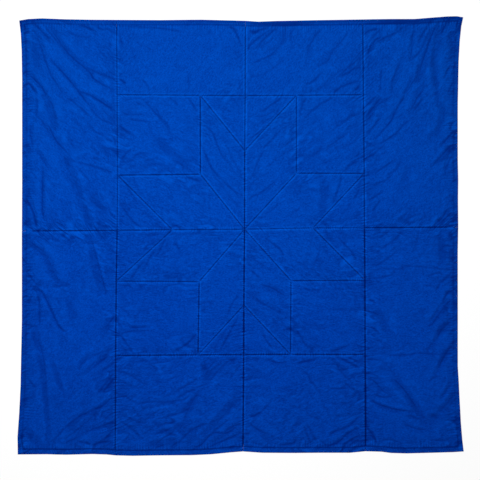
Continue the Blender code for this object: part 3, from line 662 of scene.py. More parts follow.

# Folds and creases: how their depth becomes a form and a painted shade
CREASE_STEPS = 4
CREASE_REACH = 4.0
CREASE_NARROW = 0.85
CREASE_DARK_WIDTH = 3.6
CREASE_UNEVEN = (26.0, 5)
CREASE_TIP = 0.2
CREASE_ENDS = 5.0
TAPER_POWER = 0.7
TAPER_WIDTH = (0.3, 1.0)
FOLD_DEPTH = 0.62
FOLD_LINE = 0.03
FOLD_DARK = 0.12
UNEVEN = (0.14, 0.32)
LONG_CREASE = 75.0
SHOULDER = 0.45
SHOULDER_WIDTH = 2.3

# Fine wrinkles. Their lie and how crinkled the cloth is, region by region: place, degrees, strength
Lie = namedtuple("Lie", "x y angle strength")
LIES = (
    Lie(-800, 780, -45, 0.8), Lie(-800, 320, -50, 1.1), Lie(-800, -200, -15, 1.2), Lie(-760, -700, 38, 1.1),
    Lie(800, 800, 50, 1.1), Lie(800, 350, 33, 1.1), Lie(800, -200, 10, 1.2), Lie(800, -750, 8, 1.2),
    Lie(-290, 810, 50, 0.58), Lie(290, 810, 57, 0.68), Lie(-290, -830, 14, 1.65), Lie(290, -830, 20, 1.65),
    Lie(-390, 465, -15, 0.9), Lie(410, 470, 38, 1.15), Lie(-390, -380, -8, 1.3), Lie(410, -370, -5, 1.4),
    Lie(-120, 280, -35, 0.9), Lie(120, 280, 30, 0.9), Lie(-150, -150, 20, 1.1), Lie(150, -150, -25, 1.2),
)
LIE_REACH = 230.0
CALM_FROM = 60.0
CALM_SHARE = 0.5
CALM_MIDDLE = 0.85
CALM_LIMITS = (0.35, 1.3)
LIVELY = (0.92, 1.25)
WRINKLE_TURNS = 6
WRINKLE_SPREAD = math.radians(24.0)
Wrinkle = namedtuple("Wrinkle", "long short rise seed")
WRINKLES = (
    Wrinkle(50.0, 13.0, 0.36, 21),
    Wrinkle(24.0, 7.5, 0.50, 41),
)
# Thin creases where a drawn-out noise crosses zero, each with painted shade along it and a painted
# highlight on an edge beside it
NETS = (
    Wrinkle(85.0, 25.0, 0.55, 61),
    Wrinkle(52.0, 16.0, 0.40, 75),
)
NET_WIDTH = 0.30
NET_LIT = (1.4 * NET_WIDTH, 0.7 * NET_WIDTH)
NET_BROKEN = (0.10, 1.5)
NET_DARK = 0.55
NET_LIGHT = 0.60
NET_PATCH = 2.2
WRINKLE_DARK = 0.16
WRINKLE_DEEP = 0.5
FLECKS = Wrinkle(24.0, 8.0, 1.5, 97)
FLECK_LIE = 0.5
FLECK_FROM = 0.2

# How strongly the forms show in the colour: painted shade on their low side, painted highlight on their
# high side, with wear as well on raised cloth
RIB_DARK = 0.65
PUCKER_DARK = 0.40
SEAM_HIGHLIGHT = 0.9
SWELL_HIGHLIGHT_AND_WEAR = 0.28
SWELL_FULL = 1.5
RIB_HIGHLIGHT = 0.9
PUCKER_HIGHLIGHT = 0.6
LIVELY_LEAST = 0.25

# Noise: values in a lattice or a line, and how far the two layers of one noise are turned
LATTICE_SIZE = 256
LINE_SIZE = 1024
LINE_SHIFT = 64.0
LAYER_SHARE = 0.75
LAYER_TURNS = (0.45, 1.35)
LAYER_SKEW = 0.11

# Mesh lines, in millimetres: distance from a patch's edge, spacing there
LINE_SPACING = ((0.0, 0.9), (3.0, 1.9), (9.0, 3.0), (45.0, 3.5), (75.0, 3.8))
LATTICE_STEP = 3.0
EDGE_CROWDING = 1.25
STRIDE = 4
FAR = 1e3


def points(names_or_pairs):
    """Corner names or pairs of millimetres as one array."""
    return np.array([CORNERS[p] if isinstance(p, str) else p for p in names_or_pairs], float)


def sides_of(corners):
    """Each corner of a ring with the one that follows it."""
    return zip(corners, corners[1:] + corners[:1])


def edge_points(start, end):
    """The points strictly between two neighbouring corners of a patch, along the seam or the hem."""
    if (start, end) in EDGES:
        return EDGES[(start, end)]
    return tuple(reversed(EDGES.get((end, start), ())))


def all_patches():
    """Every patch's name with the seam corners round it."""
    patches = {}
    for side, (apex, middle, corner, inner) in SIDES.items():
        patches["point_" + side] = ("centre", apex, corner, inner)
        patches["triangle_" + side] = (apex, middle, corner)
    for place in ("top_left", "top_right", "bottom_left", "bottom_right"):
        end = place.split("_")[0]
        patches["square_" + place] = (
            place + "_inner", f"{place}_on_{end}", "block_" + place, place + "_on_side")
    patches.update(PANELS)
    return patches


PATCHES = all_patches()


def seams_of(patches):
    """Every seam as a straight line, each taken once."""
    pairs = {}
    for corner_names in patches.values():
        for start, end in sides_of(corner_names):
            if not edge_points(start, end):
                pairs[tuple(sorted((start, end)))] = None
    return [points(pair) for pair in pairs]


def hem_outline():
    """The blanket's outer edge as one open path, anticlockwise, whose last point joins its first."""
    follows = {start: (end, between) for (start, end), between in EDGES.items()}
    outline = []
    name = first = "hem_top_left"
    while not outline or name != first:
        end, between = follows[name]
        outline.append(name)
        outline.extend(between)
        name = end
    return points(outline)[::-1]


SEAMS = seams_of(PATCHES)
HEM = hem_outline()


def eased(place):
    """The whole number below each place and how far past it the place is, eased at both ends."""
    low = np.floor(place).astype(int)
    share = place - low
    return low, share * share * (3 - 2 * share)


def lattice_noise(place, seed):
    """Smooth noise between -1 and 1 whose values change from one whole place to the next."""
    lattice = np.random.default_rng(seed).uniform(-1, 1, (LATTICE_SIZE, LATTICE_SIZE))
    low, share = eased(place)
    i, j = (low % (LATTICE_SIZE - 1)).T
    u, v = share.T
    near = lattice[i, j] * (1 - u) + lattice[i + 1, j] * u
    far = lattice[i, j + 1] * (1 - u) + lattice[i + 1, j + 1] * u
    return near * (1 - v) + far * v


def turned(xy, angle):
    """Points read along and across a direction."""
    cosine, sine = math.cos(angle), math.sin(angle)
    return xy @ np.array(((cosine, -sine), (sine, cosine)))


def layered_noise(xy, angles, size, seed):
    """Smooth noise between -1 and 1 from lattices at different angles, so that no lattice shows."""
    places = [turned(xy, angle) / size + LATTICE_SIZE / 2 for angle in angles]
    return LAYER_SHARE * sum(lattice_noise(place, seed + k) for k, place in enumerate(places))


def soft_noise(xy, size, seed):
    """Smooth noise with bumps about size millimetres across."""
    return layered_noise(xy, LAYER_TURNS, size, seed * 7)


def drawn_out_noise(xy, angle, wrinkle, number=0):
    """Smooth noise drawn out along a direction."""
    size = np.array((wrinkle.long, wrinkle.short))
    return layered_noise(xy, (angle - LAYER_SKEW, angle + LAYER_SKEW), size, wrinkle.seed + 2 * number)


def line_noise(along, pitch, seed):
    """Smooth noise between -1 and 1 along a line."""
    values = np.random.default_rng(seed).uniform(-1, 1, LINE_SIZE)
    low, share = eased(along / pitch + LINE_SHIFT)
    low = low % (LINE_SIZE - 1)
    return values[low] * (1 - share) + values[low + 1] * share


def wavering(along, waver, number=0):
    """A share that wavers along a line, differently for each numbered line."""
    return waver.middle + waver.swing * line_noise(along, waver.pitch, waver.seed + number)


def ripple(along, ripples, number=0):
    """Uneven waves along a line, between about -1 and 1, different for each numbered line."""
    pitch, seed = ripples.pitch, ripples.seed + 3 * number
    drift = RIPPLE_DRIFT * line_noise(along, DRIFT_PITCHES * pitch, seed)
    strength = RIPPLE_STRENGTH + STRENGTH_SWING * line_noise(along, STRENGTH_PITCHES * pitch, seed + 1)
    return np.sin(2 * math.pi * along / pitch + drift) * strength


def bell(distance, width):
    """A smooth hump: 1 at no distance, and close to nothing from twice the width."""
    return np.exp(-((distance / width) ** 2))


def plateau(distance, width):
    """A hump with a flat top and steep flanks at the width."""
    return np.exp(-((distance / width) ** 4))


def ramp(value, start, length):
    """0 up to the start, 1 from the length beyond it, and rising evenly between."""
    return np.clip((value - start) / length, 0, 1)


def between(span, share):
    """The value at this share of the way from one end of a span to the other."""
    low, high = span
    return low + (high - low) * share


def read_off(table, place):
    """The value that a table of places and values gives at each place."""
    return np.interp(place, *zip(*table))


def along_and_away(xy, start, end):
    """For each point: its place along a straight line, its signed side and its distance from the line."""
    line = end - start
    length = np.hypot(*line)
    direction = line / length
    offset = xy - start
    along = offset @ direction
    side = offset @ np.array((-direction[1], direction[0]))
    past = along - np.clip(along, 0, length)
    return along, side, np.hypot(side, past)


def near_box(xy, low, high, reach):
    """The places of the points within reach of a box."""
    return np.flatnonzero(((xy > low - reach) & (xy < high + reach)).all(1))


def smooth_path(corners):
    """A smooth curve through the points given."""
    corners = np.array(corners, float).reshape(-1, 2)
    ends = 2 * corners[[0, -1]] - corners[[1, -2]]
    corners = np.vstack((ends[:1], corners, ends[1:]))
    path = [corners[1:2]]
    s = np.linspace(0, 1, CREASE_STEPS + 1)[1:, None]
    for a, b, c, d in zip(corners, corners[1:], corners[2:], corners[3:]):
        bend = a - 2.5 * b + 2 * c - d / 2
        twist = 1.5 * (b - c) + (d - a) / 2
        path.append(b + s * (c - a) / 2 + s**2 * bend + s**3 * twist)
    return np.vstack(path)


def crease_rows():
    """Every fold and crease as its path, kind and unevenness."""
    for fold in FOLDS:
        kind = Kind(fold.wide, FOLD_DEPTH * fold.deep, FOLD_LINE, FOLD_DARK)
        yield smooth_path(fold[:6]), kind, UNEVEN[0]
    for kind, places in CREASES.items():
        for place in places:
            path = smooth_path(place)
            yield path, kind, UNEVEN[0] if np.hypot(*(path[-1] - path[0])) > LONG_CREASE else UNEVEN[1]


CREASE_PATHS = list(crease_rows())


def away_from_path(xy, path):
    """Each point's distance from a path and its place along it, as a share of the path's steps."""
    away = np.full(len(xy), np.inf)
    share = np.zeros(len(xy))
    for step, (start, end) in enumerate(zip(path, path[1:])):
        along, _, distance = along_and_away(xy, start, end)
        closer = distance < away
        away = np.where(closer, distance, away)
        place = (step + np.clip(along / np.hypot(*(end - start)), 0, 1)) / (len(path) - 1)
        share = np.where(closer, place, share)
    return away, share


def crease_fields(xy):
    """Depth of the folds and creases, the rise of the cloth beside them, and the painted shade along them.
    """
    depth, shoulder, dark = np.zeros((3, len(xy)))
    for path, kind, waver in CREASE_PATHS:
        near = near_box(xy, path.min(0), path.max(0), CREASE_REACH * kind.wide)
        if not len(near):
            continue
        away, share = away_from_path(xy[near], path)
        inside = np.minimum(1, np.minimum(share, 1 - share) * CREASE_ENDS)
        taper = between((CREASE_TIP, 1.0), inside**TAPER_POWER)
        uneven = 1 + waver * soft_noise(xy[near], *CREASE_UNEVEN)
        size = abs(kind.deep) * taper * uneven
        if kind.deep > 0:
            drop = size * bell(away, CREASE_NARROW * kind.wide)
            depth[near] = np.cbrt(depth[near] ** 3 + drop**3)
            rise = SHOULDER * size * bell(away, SHOULDER_WIDTH * kind.wide)
            flank = kind.flank * plateau(away, kind.wide * between(TAPER_WIDTH, taper))
            look = kind.line * bell(away, CREASE_DARK_WIDTH) + flank
            dark[near] = np.maximum(dark[near], taper * uneven * look)
        else:
            rise = size * bell(away, kind.wide)
        shoulder[near] = np.cbrt(shoulder[near] ** 3 + rise**3)
    return depth, shoulder, dark


def lie_at(xy):
    """The direction in which the fine wrinkles lie at each point, and their strength."""
    pull = np.zeros((len(xy), 3))
    total = np.zeros(len(xy))
    for lie in LIES:
        near = bell(np.hypot(xy[:, 0] - lie.x, xy[:, 1] - lie.y), LIE_REACH)
        turn = 2 * math.radians(lie.angle)
        pull += near[:, None] * np.array((math.cos(turn), math.sin(turn), lie.strength))
        total += near
    return np.arctan2(pull[:, 1], pull[:, 0]) / 2, pull[:, 2] / total


def wrinkle_fields(xy, inside):
    """Rise of the fine wrinkles, their painted shade and painted highlight, and how lively they are."""
    angle, strength = lie_at(xy)
    beside_seams = np.where(np.abs(xy[:, 0]) < BLOCK_HALF, *LIVELY)
    fuss = strength * between((CALM_SHARE, beside_seams), bell(inside, CALM_FROM))
    turns = [math.pi * k / WRINKLE_TURNS for k in range(WRINKLE_TURNS)]
    shares = [bell((angle - turn + math.pi / 2) % math.pi - math.pi / 2, WRINKLE_SPREAD) for turn in turns]
    size = np.sqrt(sum(share**2 for share in shares))
    rise, creased, crease, lit = np.zeros((4, len(xy)))
    for k, (turn, share) in enumerate(zip(turns, shares)):
        share = share / size
        for wrinkle in WRINKLES:
            rise += wrinkle.rise * share * drawn_out_noise(xy, turn, wrinkle, k)
        for net in NETS:
            crossing = drawn_out_noise(xy, turn, net, k)
            patchy = soft_noise(xy, NET_PATCH * net.short, net.seed + 30 + k)
            broken = share * np.clip(NET_BROKEN[0] + NET_BROKEN[1] * patchy, 0, 1)
            line = broken * np.clip(1 - np.abs(crossing) / NET_WIDTH, 0, 1)
            creased = np.maximum(creased, net.rise * line)
            crease = np.maximum(crease, line)
            lit = np.maximum(lit, broken * bell(crossing - NET_LIT[0], NET_LIT[1]))
    patches = CALM_PATCHES.rise * soft_noise(xy, CALM_PATCHES.size, CALM_PATCHES.seed)
    dark = NET_DARK * crease + WRINKLE_DARK * ramp(-rise, 0, WRINKLE_DEEP)
    fuss *= np.clip(CALM_MIDDLE + patches, *CALM_LIMITS)
    return fuss * (rise - creased), fuss * dark, fuss * NET_LIGHT * lit, fuss


def swell_height(xy):
    """How high slack cloth would stand off the surface without its folds."""
    height = np.zeros(len(xy))
    for swell in SWELLS:
        across = (xy[:, 0] - swell.x) / swell.reach_x
        along = (xy[:, 1] - swell.y) / swell.reach_y
        height = np.maximum(height, swell.rise * np.exp(-((across**2 + along**2) ** SWELL_SHOULDER)))
    return height


def seam_look(middle, line):
    """The look that a seam has by its direction and place."""
    if abs(line[0] ** 2 - line[1] ** 2) < DIAGONAL_FROM:
        return DIAGONAL_LOOK
    looks = UPRIGHT_SEAMS if abs(line[1]) > abs(line[0]) else LEVEL_SEAMS
    return min(looks, key=lambda look: math.hypot(middle[0] - look.x, middle[1] - look.y))


def pucker_start(xy, along, side, line, number):
    """Where along a seam the pucker at each point starts, since puckers lean with the cloth's lie."""
    lie = lie_at(xy)[0]
    lean_along = np.cos(lie) * line[0] + np.sin(lie) * line[1]
    lean_across = np.sin(lie) * line[0] - np.cos(lie) * line[1]
    slant = lean_along * lean_across / (lean_across**2 + LEAN_LIMIT) + wavering(along, PUCKER_LEAN, number)
    return along - PUCKER_SLANT * slant * side


def gathers(place, distance, pull, number):
    """Longer troughs in the cloth beside a seam."""
    reach = between(GATHER_REACH, wavering(place, GATHER_SPREAD, number) ** 2)
    phase = math.pi * place / GATHER_PITCH + wavering(place, GATHER_DRIFT, number)
    strength = np.clip(wavering(place, GATHER_STRENGTH, number), 0, 1) * min(1.0, pull**3)
    return bell(np.sin(phase), GATHER_NARROW) * bell(distance, pull * reach) * strength


def seam_fields(xy):
    """Distance to the nearest seam, its allowance's rise, puckers, gathers, and its painted shade and
    painted highlight.
    """
    away = np.full(len(xy), FAR)
    allowance, pucker, gather, dark, light = np.zeros((5, len(xy)))
    for number, (start, end) in enumerate(SEAMS):
        near = near_box(xy, np.minimum(start, end), np.maximum(start, end), SEAM_REACH)
        if not len(near):
            continue
        here = xy[near]
        along, side, distance = along_and_away(here, start, end)
        line = (end - start) / np.hypot(*(end - start))
        look = seam_look((start + end) / 2, line)
        facing = np.sign(np.array((-line[1], line[0])) @ SHADED_SIDE)
        shaded = np.where(side * facing > 0, 1.0, 0.0)
        ridge = (1 - np.exp(-distance / ALLOWANCE_START)) * plateau(distance, ALLOWANCE_WIDTH)
        closer = distance < away[near]
        allowance[near] = np.where(closer, shaded * ALLOWANCE_RISE * ridge, allowance[near])
        away[near] = np.minimum(away[near], distance)

        place = pucker_start(here, along, side, line, number)
        waves = ripple(place, PUCKERS, number)
        spread = wavering(place, PUCKER_SPREAD, number) ** 2 * min(1.0, look.pull) ** 2
        strength = PUCKERS.rise * between(PUCKER_SHARE, look.pull)
        pucker[near] += strength * waves * bell(distance, between(PUCKER_REACH, spread))
        gather[near] = np.maximum(gather[near], gathers(place, distance, look.pull, number))

        breadth = wavering(along, SEAM_BREADTH, number) - BREADTH_WAVE * waves
        breadth = np.clip(breadth, *SEAM_BREADTH_LIMITS)
        drawn = bell(distance, between(SEAM_DARK_WIDTH, look.dark) * breadth)
        from_end = np.minimum(np.hypot(*(here - start).T), np.hypot(*(here - end).T))
        short = IN_BLOCK[0] < abs(start[0] + end[0]) / 2 < IN_BLOCK[1]
        fade = between((END_DARK, 1.0), ramp(from_end, 0, END_FADE)) if short else 1.0
        dark[near] = np.maximum(dark[near], fade * SEAM_DARK * look.dark * drawn)
        beads = np.clip(BEAD_MIDDLE + BEAD_SWING * waves, 0, BEAD_MOST)
        beads = beads * bell(distance - BEAD_AWAY, BEAD_WIDTH)
        light[near] = np.where(closer, look.light * between((LIT_SIDE, 1.0), shaded) * beads, light[near])
        if short:
            light[near] = np.maximum(light[near], END_LIGHT * bell(from_end, END_REACH))
    return away, allowance, pucker, gather, dark, light


def hem_fields(xy):
    """Distance to the hem's edge and the place along it."""
    away = np.full(len(xy), FAR)
    place = np.zeros(len(xy))
    passed = 0.0
    for start, end in zip(HEM, np.roll(HEM, -1, axis=0)):
        along, _, distance = along_and_away(xy, start, end)
        length = np.hypot(*(end - start))
        closer = distance < away
        away = np.where(closer, distance, away)
        place = np.where(closer, passed + np.clip(along, 0, length), place)
        passed += length
    return away, place


def stitch_away(y):
    """How far inside the hem's edge its stitches run: the bottom hem is wider."""
    return HEM_STITCH + WIDER_BOTTOM_HEM * ramp(-y, *BOTTOM_STITCHES)


def underside_height(xy, from_seam, from_hem, shoulder, depth):
    """How high the underside stands: slack cloth, held down at seams and hem and pressed into folds."""
    border = ramp(np.abs(xy[:, 0]), *BORDER)
    slack = SLACK + np.zeros(len(xy))
    for crumple in CRUMPLES:
        rise = crumple.rise * between((1, BORDER_SLACK), border)
        slack += rise * soft_noise(xy, crumple.size, crumple.seed)
    held = np.minimum(1, from_seam / SEAM_HOLD) * np.minimum(1, from_hem / HEM_HOLD)
    raw = held * swell_height(xy) + between((HELD_LEAST, 1.0), held) * (slack + shoulder) - depth
    return 0.5 * (raw + np.sqrt(raw**2 + FLATTENED**2))


def hem_relief(from_hem, along_hem, stitched):
    """Rise of the ribs across the hem and of the puckers that run inwards from its stitches."""
    in_hem = ramp(from_hem, 0, HEM_FADE) * ramp(stitched + PAST_STITCHES, from_hem, STITCH_FADE)
    rib = RIBS.rise * ripple(along_hem + RIB_SLANT * from_hem, RIBS) * in_hem
    reach = between(INWARD_REACH, wavering(along_hem, INWARD_SPREAD) ** 2)
    inward = INWARD_PUCKERS.rise * ripple(along_hem, INWARD_PUCKERS) * bell(from_hem - stitched, reach)
    return rib, inward * ramp(from_hem, stitched, STITCH_FADE)


def banded(from_hem, band):
    """The painted shade of a line along the hem."""
    return band.dark * bell(from_hem - band.away, band.width)


def stitch_line(xy, from_hem, along_hem, stitched):
    """Painted shade along the line of stitches: darkest in the bottom hem, in dots elsewhere."""
    in_bottom_hem = ramp(-xy[:, 1], *BOTTOM_HEM)
    dots = np.clip(DOT_MIDDLE + DOT_SWING * ripple(along_hem, RIBS), 0, 1)
    dark = between(STITCH_LINE_DARK, in_bottom_hem) + STITCH_DOTS_DARK * dots
    return dark * bell(from_hem - stitched, STITCH_LINE_WIDTH)


def top_hem_marks(xy, from_hem):
    """The painted shade on the roll of the top hem, with two painted lines of shade along it."""
    at_top = ramp(xy[:, 1], *TOP_HEM_BAND)
    dark = read_off(TOP_HEM, xy[:, 0])
    uneven = ROLL_EVEN + ROLL_UNEVEN.rise * soft_noise(xy, ROLL_UNEVEN.size, ROLL_UNEVEN.seed)
    rolled = at_top * ramp(TOP_HEM_WIDTH, from_hem, TOP_HEM_FADE) * dark * uneven
    lines = np.maximum(*(banded(from_hem, line) for line in TOP_HEM_LINES))
    return ROLL_DARK * rolled + lines * at_top * between(TOP_LINE_DARK, np.minimum(1, dark))


def side_hem_marks(xy, from_hem, along_hem, at_sides):
    """How dark the flecks of the side hems show, with painted shade at the doubled edge and over the side
    hems.
    """
    flecks = np.clip(FLECKS.rise * drawn_out_noise(xy, FLECK_LIE, FLECKS) - FLECK_FROM, 0, 1)
    flecks *= banded(from_hem, FLECK_BAND) * np.clip(wavering(along_hem, FLECK_SHARE), *FLECK_LIMITS)
    doubled = np.clip(wavering(along_hem, DOUBLED_SHARE), 0, 1) * banded(from_hem, DOUBLED_EDGE)
    return at_sides * (FLECK_DARK * flecks + SIDE_SHADE * plateau(from_hem, SIDE_SHADE_WIDTH) + doubled)


def cloth_shape(xy):
    """Underside and top of the cloth at each point in millimetres, with the painted shade, painted
    highlight and wear, and crinkle strength that its colour reads.
    """
    from_hem, along_hem = hem_fields(xy)
    from_seam, allowance, pucker, gather, seam_dark, seam_light = seam_fields(xy)
    depth, shoulder, crease_dark = crease_fields(xy)
    wrinkle, wrinkle_dark, wrinkle_light, fuss = wrinkle_fields(xy, np.minimum(from_seam, from_hem))
    underside = underside_height(xy, from_seam, from_hem, shoulder, depth)
    for knot in KNOTS:
        span = np.hypot(xy[:, 0] - knot.x, xy[:, 1] - knot.y)
        pucker += knot.rise * bell(span, knot.reach) * ramp(from_hem, 0, KNOT_FADE)

    stitched = stitch_away(xy[:, 1])
    rib, inward = hem_relief(from_hem, along_hem, stitched)
    thick = read_off(HEM_THICKNESS, from_hem * HEM_STITCH / stitched)
    thick = thick - SEAM_CREASE[0] * np.exp(-from_seam / SEAM_CREASE[1]) + allowance
    thick = thick - SEAM_HOLLOW[0] * bell(from_seam, SEAM_HOLLOW[1])
    pressed = np.clip(depth - shoulder - PRESSED_FROM, 0, PRESSED_MOST) * PRESSED_SHARE
    edge = ramp(from_hem, 0, EDGE_FADE)
    puckered = edge * pucker * np.clip(from_seam / PUCKER_START, PUCKER_AT_SEAM, 1)
    shape = thick - pressed + puckered + rib + inward
    shape = shape + edge * wrinkle - GATHER_DEPTH * edge * gather
    top = underside + np.maximum(shape, THINNEST)

    at_sides = ramp(np.abs(xy[:, 0]), *SIDE_HEM)
    crossing = HEM_CROSSING[0] + HEM_CROSSING[1] * at_sides
    crossed = np.maximum(ramp(from_hem, crossing, CROSSING_FADE), CROSSING_DARK)
    # Painted shade in the seams' creases and along the hem's stitch line
    painted_seam_shade = np.maximum(seam_dark * crossed, SEAM_DARK * stitch_line(xy, from_hem, along_hem, stitched))
    # Painted shade: darker in creases, wrinkle troughs, gathers, the hem's roll and edge, between ribs and
    # in pucker valleys
    painted_shade = crease_dark + wrinkle_dark + banded(from_hem, HEM_EDGE) + GATHER_DARK * gather
    painted_shade += top_hem_marks(xy, from_hem) + side_hem_marks(xy, from_hem, along_hem, at_sides)
    painted_shade += RIB_DARK * np.clip(-rib - inward, 0, 1) + PUCKER_DARK * ramp(-pucker, 0, PUCKERS.rise) * edge
    # Painted highlight beside seams, on rib and pucker crests and beside wrinkles, with painted highlight
    # and wear on raised cloth
    highlight_and_wear = SEAM_HIGHLIGHT * seam_light + SWELL_HIGHLIGHT_AND_WEAR * ramp(shoulder - depth, 0, SWELL_FULL) + wrinkle_light
    highlight_and_wear += RIB_HIGHLIGHT * np.clip(rib + inward, 0, 1) + PUCKER_HIGHLIGHT * ramp(pucker, 0, PUCKERS.rise)
    tints = {"painted_seam_shade": painted_seam_shade, "painted_shade": painted_shade, "highlight_and_wear": highlight_and_wear, "fuss": between((LIVELY_LEAST, 1.0), fuss)}
    return underside, top, {tint: np.clip(values, 0, 1) for tint, values in tints.items()}


def drawn_in(outline, gap):
    """A closed outline, anticlockwise, moved inwards by gap, or by one gap for each point."""
    before = outline - np.roll(outline, 1, axis=0)
    after = np.roll(outline, -1, axis=0) - outline
    inward = []
    for line in (before, after):
        length = np.hypot(line[:, 0], line[:, 1])
        inward.append(np.column_stack((-line[:, 1], line[:, 0])) / length[:, None])
    bisector = inward[0] + inward[1]
    scale = gap * 2 / (bisector**2).sum(1)
    return outline + bisector * scale[:, None]


def patch_outline(corner_names):
    """The outline of a patch, anticlockwise, and its area."""
    outline = []
    for start, end in sides_of(corner_names):
        outline.append(start)
        outline.extend(edge_points(start, end))
    outline = points(outline)
    following = np.roll(outline, -1, axis=0)
    area = (outline[:, 0] * following[:, 1] - following[:, 0] * outline[:, 1]).sum() / 2
    return (outline if area > 0 else outline[::-1]), abs(area)


def sharpest(outline, count):
    """The places of the outline's sharpest corners, in order."""
    before = outline - np.roll(outline, 1, axis=0)
    after = np.roll(outline, -1, axis=0) - outline
    turn = before[:, 0] * after[:, 1] - before[:, 1] * after[:, 0]
    turn = turn / (np.hypot(*before.T) * np.hypot(*after.T))
    return sorted(np.argsort(-turn)[:count])


def sides_between(outline, places):
    """The stretches of a closed outline from each of these places to the next."""
    sides = []
    for start, end in sides_of(places):
        span = range(start, end + 1 if end > start else end + 1 + len(outline))
        sides.append(outline[[k % len(outline) for k in span]])
    return sides


def step_lengths(path):
    """The length of each step of a path."""
    return np.hypot(*np.diff(path, axis=0).T)


def along_path(path, shares):
    """Points at these shares of a path's length."""
    steps = step_lengths(path)
    reach = np.concatenate(([0], np.cumsum(steps))) / steps.sum()
    return np.column_stack([np.interp(shares, reach, path[:, axis]) for axis in (0, 1)])


def line_shares(width):
    """Where mesh lines cross a patch, as shares of its width: closer together near its edges."""
    half = [0.0]
    while half[-1] < width / 2:
        half.append(half[-1] + read_off(LINE_SPACING, half[-1]))
    if len(half) % 2 == 0:
        half.append(half[-1] + LINE_SPACING[-1][1])
    half = np.array(half) / half[-1] / 2
    return np.concatenate((half, 1 - half[-2::-1]))


def four_sided_grid(outline):
    """Points of a patch with four sides, blended from them, as an array of columns by rows."""
    low, right, high, left = sides_between(outline, sharpest(outline, 4))
    high, left = high[::-1], left[::-1]
    length = [step_lengths(path).sum() for path in (low, right, high, left)]
    columns = line_shares((length[0] + length[2]) / 2)
    rows = line_shares((length[1] + length[3]) / 2)
    u, v = columns[:, None, None], rows[None, :, None]
    grid = (1 - v) * along_path(low, columns)[:, None] + v * along_path(high, columns)[:, None]
    grid = grid + (1 - u) * along_path(left, rows)[None] + u * along_path(right, rows)[None]
    grid = grid - (1 - u) * (1 - v) * low[0] - u * (1 - v) * low[-1]
    grid = grid - u * v * high[-1] - (1 - u) * v * high[0]
    return grid, np.ones(grid.shape[:2], bool)


def three_sided_grid(outline):
    """Points of a three-cornered patch in rows that crowd its edges, as half of a square array."""
    longest = max(np.hypot(*(a - b)) for a, b in zip(outline, np.roll(outline, -1, axis=0)))
    count = STRIDE * math.ceil(longest / LATTICE_STEP / STRIDE)
    steps = np.arange(count + 1)
    u, v = np.meshgrid(steps, steps, indexing="ij")
    shares = np.stack((np.maximum(count - u - v, 0), u, v), -1) ** EDGE_CROWDING
    return shares @ outline / shares.sum(-1, keepdims=True), u + v <= count


def rim_of(used):
    """The grid places round the patch's edge, anticlockwise."""
    last_u, last_v = used.shape[0] - 1, used.shape[1] - 1
    rim = [(i, 0) for i in range(last_u)]
    if not used[-1, -1]:
        rim += [(last_u - k, k) for k in range(last_u)]
    else:
        rim += [(last_u, j) for j in range(last_v)]
        rim += [(last_u - i, last_v) for i in range(last_u)]
    return rim + [(0, last_v - j) for j in range(last_v)]


def grid_faces(used, index):
    """The faces between the used points of a grid."""
    whole = used[1:, 1:]
    corner = used[1:, :-1] & used[:-1, 1:] & ~whole
    a, b, c, d = index[:-1, :-1], index[1:, :-1], index[1:, 1:], index[:-1, 1:]
    return np.stack((a, b, c, d), -1)[whole].tolist() + np.stack((a, b, d), -1)[corner].tolist()


def lowest_near(field, reach):
    """The lowest value within reach places of each place of a grid."""
    for axis in (0, 1):
        ends = [np.take(field, [end] * reach, axis) for end in (0, -1)]
        padded = np.concatenate([ends[0], field, ends[1]], axis)
        windows = [range(k, k + field.shape[axis]) for k in range(2 * reach + 1)]
        field = np.min([np.take(padded, window, axis) for window in windows], axis=0)
    return field


def numbered(used, first):
    """Numbers for the used places of a grid, counted from the first one given."""
    return np.cumsum(used.ravel()).reshape(used.shape) - 1 + first


def edge_faces(ring, low_ring):
    """The faces that join the fine rim of a sheet's top to the coarse rim of its underside."""
    faces = []
    for k, low_start in enumerate(low_ring):
        low_end = low_ring[(k + 1) % len(low_ring)]
        above = [ring[(k * STRIDE + step) % len(ring)] for step in range(STRIDE + 1)]
        faces.append((low_start, low_end, above[-1]))
        faces += [(low_start, second, first) for first, second in zip(above, above[1:])]
    return faces


def placed(name, data):
    """An object made of this data, put into the scene."""
    made = bpy.data.objects.new(name, data)
    bpy.context.scene.collection.objects.link(made)
    return made


def thin_sheet(name, outline):
    """A patch as one thin closed mesh: a fine top, a coarser underside and the edge between them."""
    outline = drawn_in(outline, PATCH_GAP)
    grid, used = three_sided_grid(outline) if len(outline) == 3 else four_sided_grid(outline)
    underside, top, tints = cloth_shape(grid.reshape(-1, 2))
    underside = underside.reshape(used.shape)
    top = top.reshape(used.shape)
    upper = np.column_stack((grid[used], top[used]))
    index = numbered(used, 0)
    rim = rim_of(used)

    low_used = used[::STRIDE, ::STRIDE]
    low_index = numbered(low_used, len(upper))
    low_z = lowest_near(underside, STRIDE)[::STRIDE, ::STRIDE]
    low_rim = [(i // STRIDE, j // STRIDE) for i, j in rim[::STRIDE]]
    for place, low_place in zip(rim[::STRIDE], low_rim):
        low_z[low_place] = underside[place] + RIM_SHARE * (top[place] - underside[place])
    lower = np.column_stack((grid[::STRIDE, ::STRIDE][low_used], low_z[low_used]))

    faces = grid_faces(used, index) + [face[::-1] for face in grid_faces(low_used, low_index)]
    faces += edge_faces([index[place] for place in rim], [low_index[place] for place in low_rim])
    mesh = bpy.data.meshes.new(name)
    mesh.from_pydata((np.vstack((upper, lower)) * MM).tolist(), [], faces)
    mesh.shade_smooth()
    for tint, values in tints.items():
        fine = values.reshape(used.shape)
        both = np.concatenate((fine[used], fine[::STRIDE, ::STRIDE][low_used]))
        mesh.attributes.new(tint, "FLOAT", "POINT").data.foreach_set("value", both)
    return placed(name, mesh)


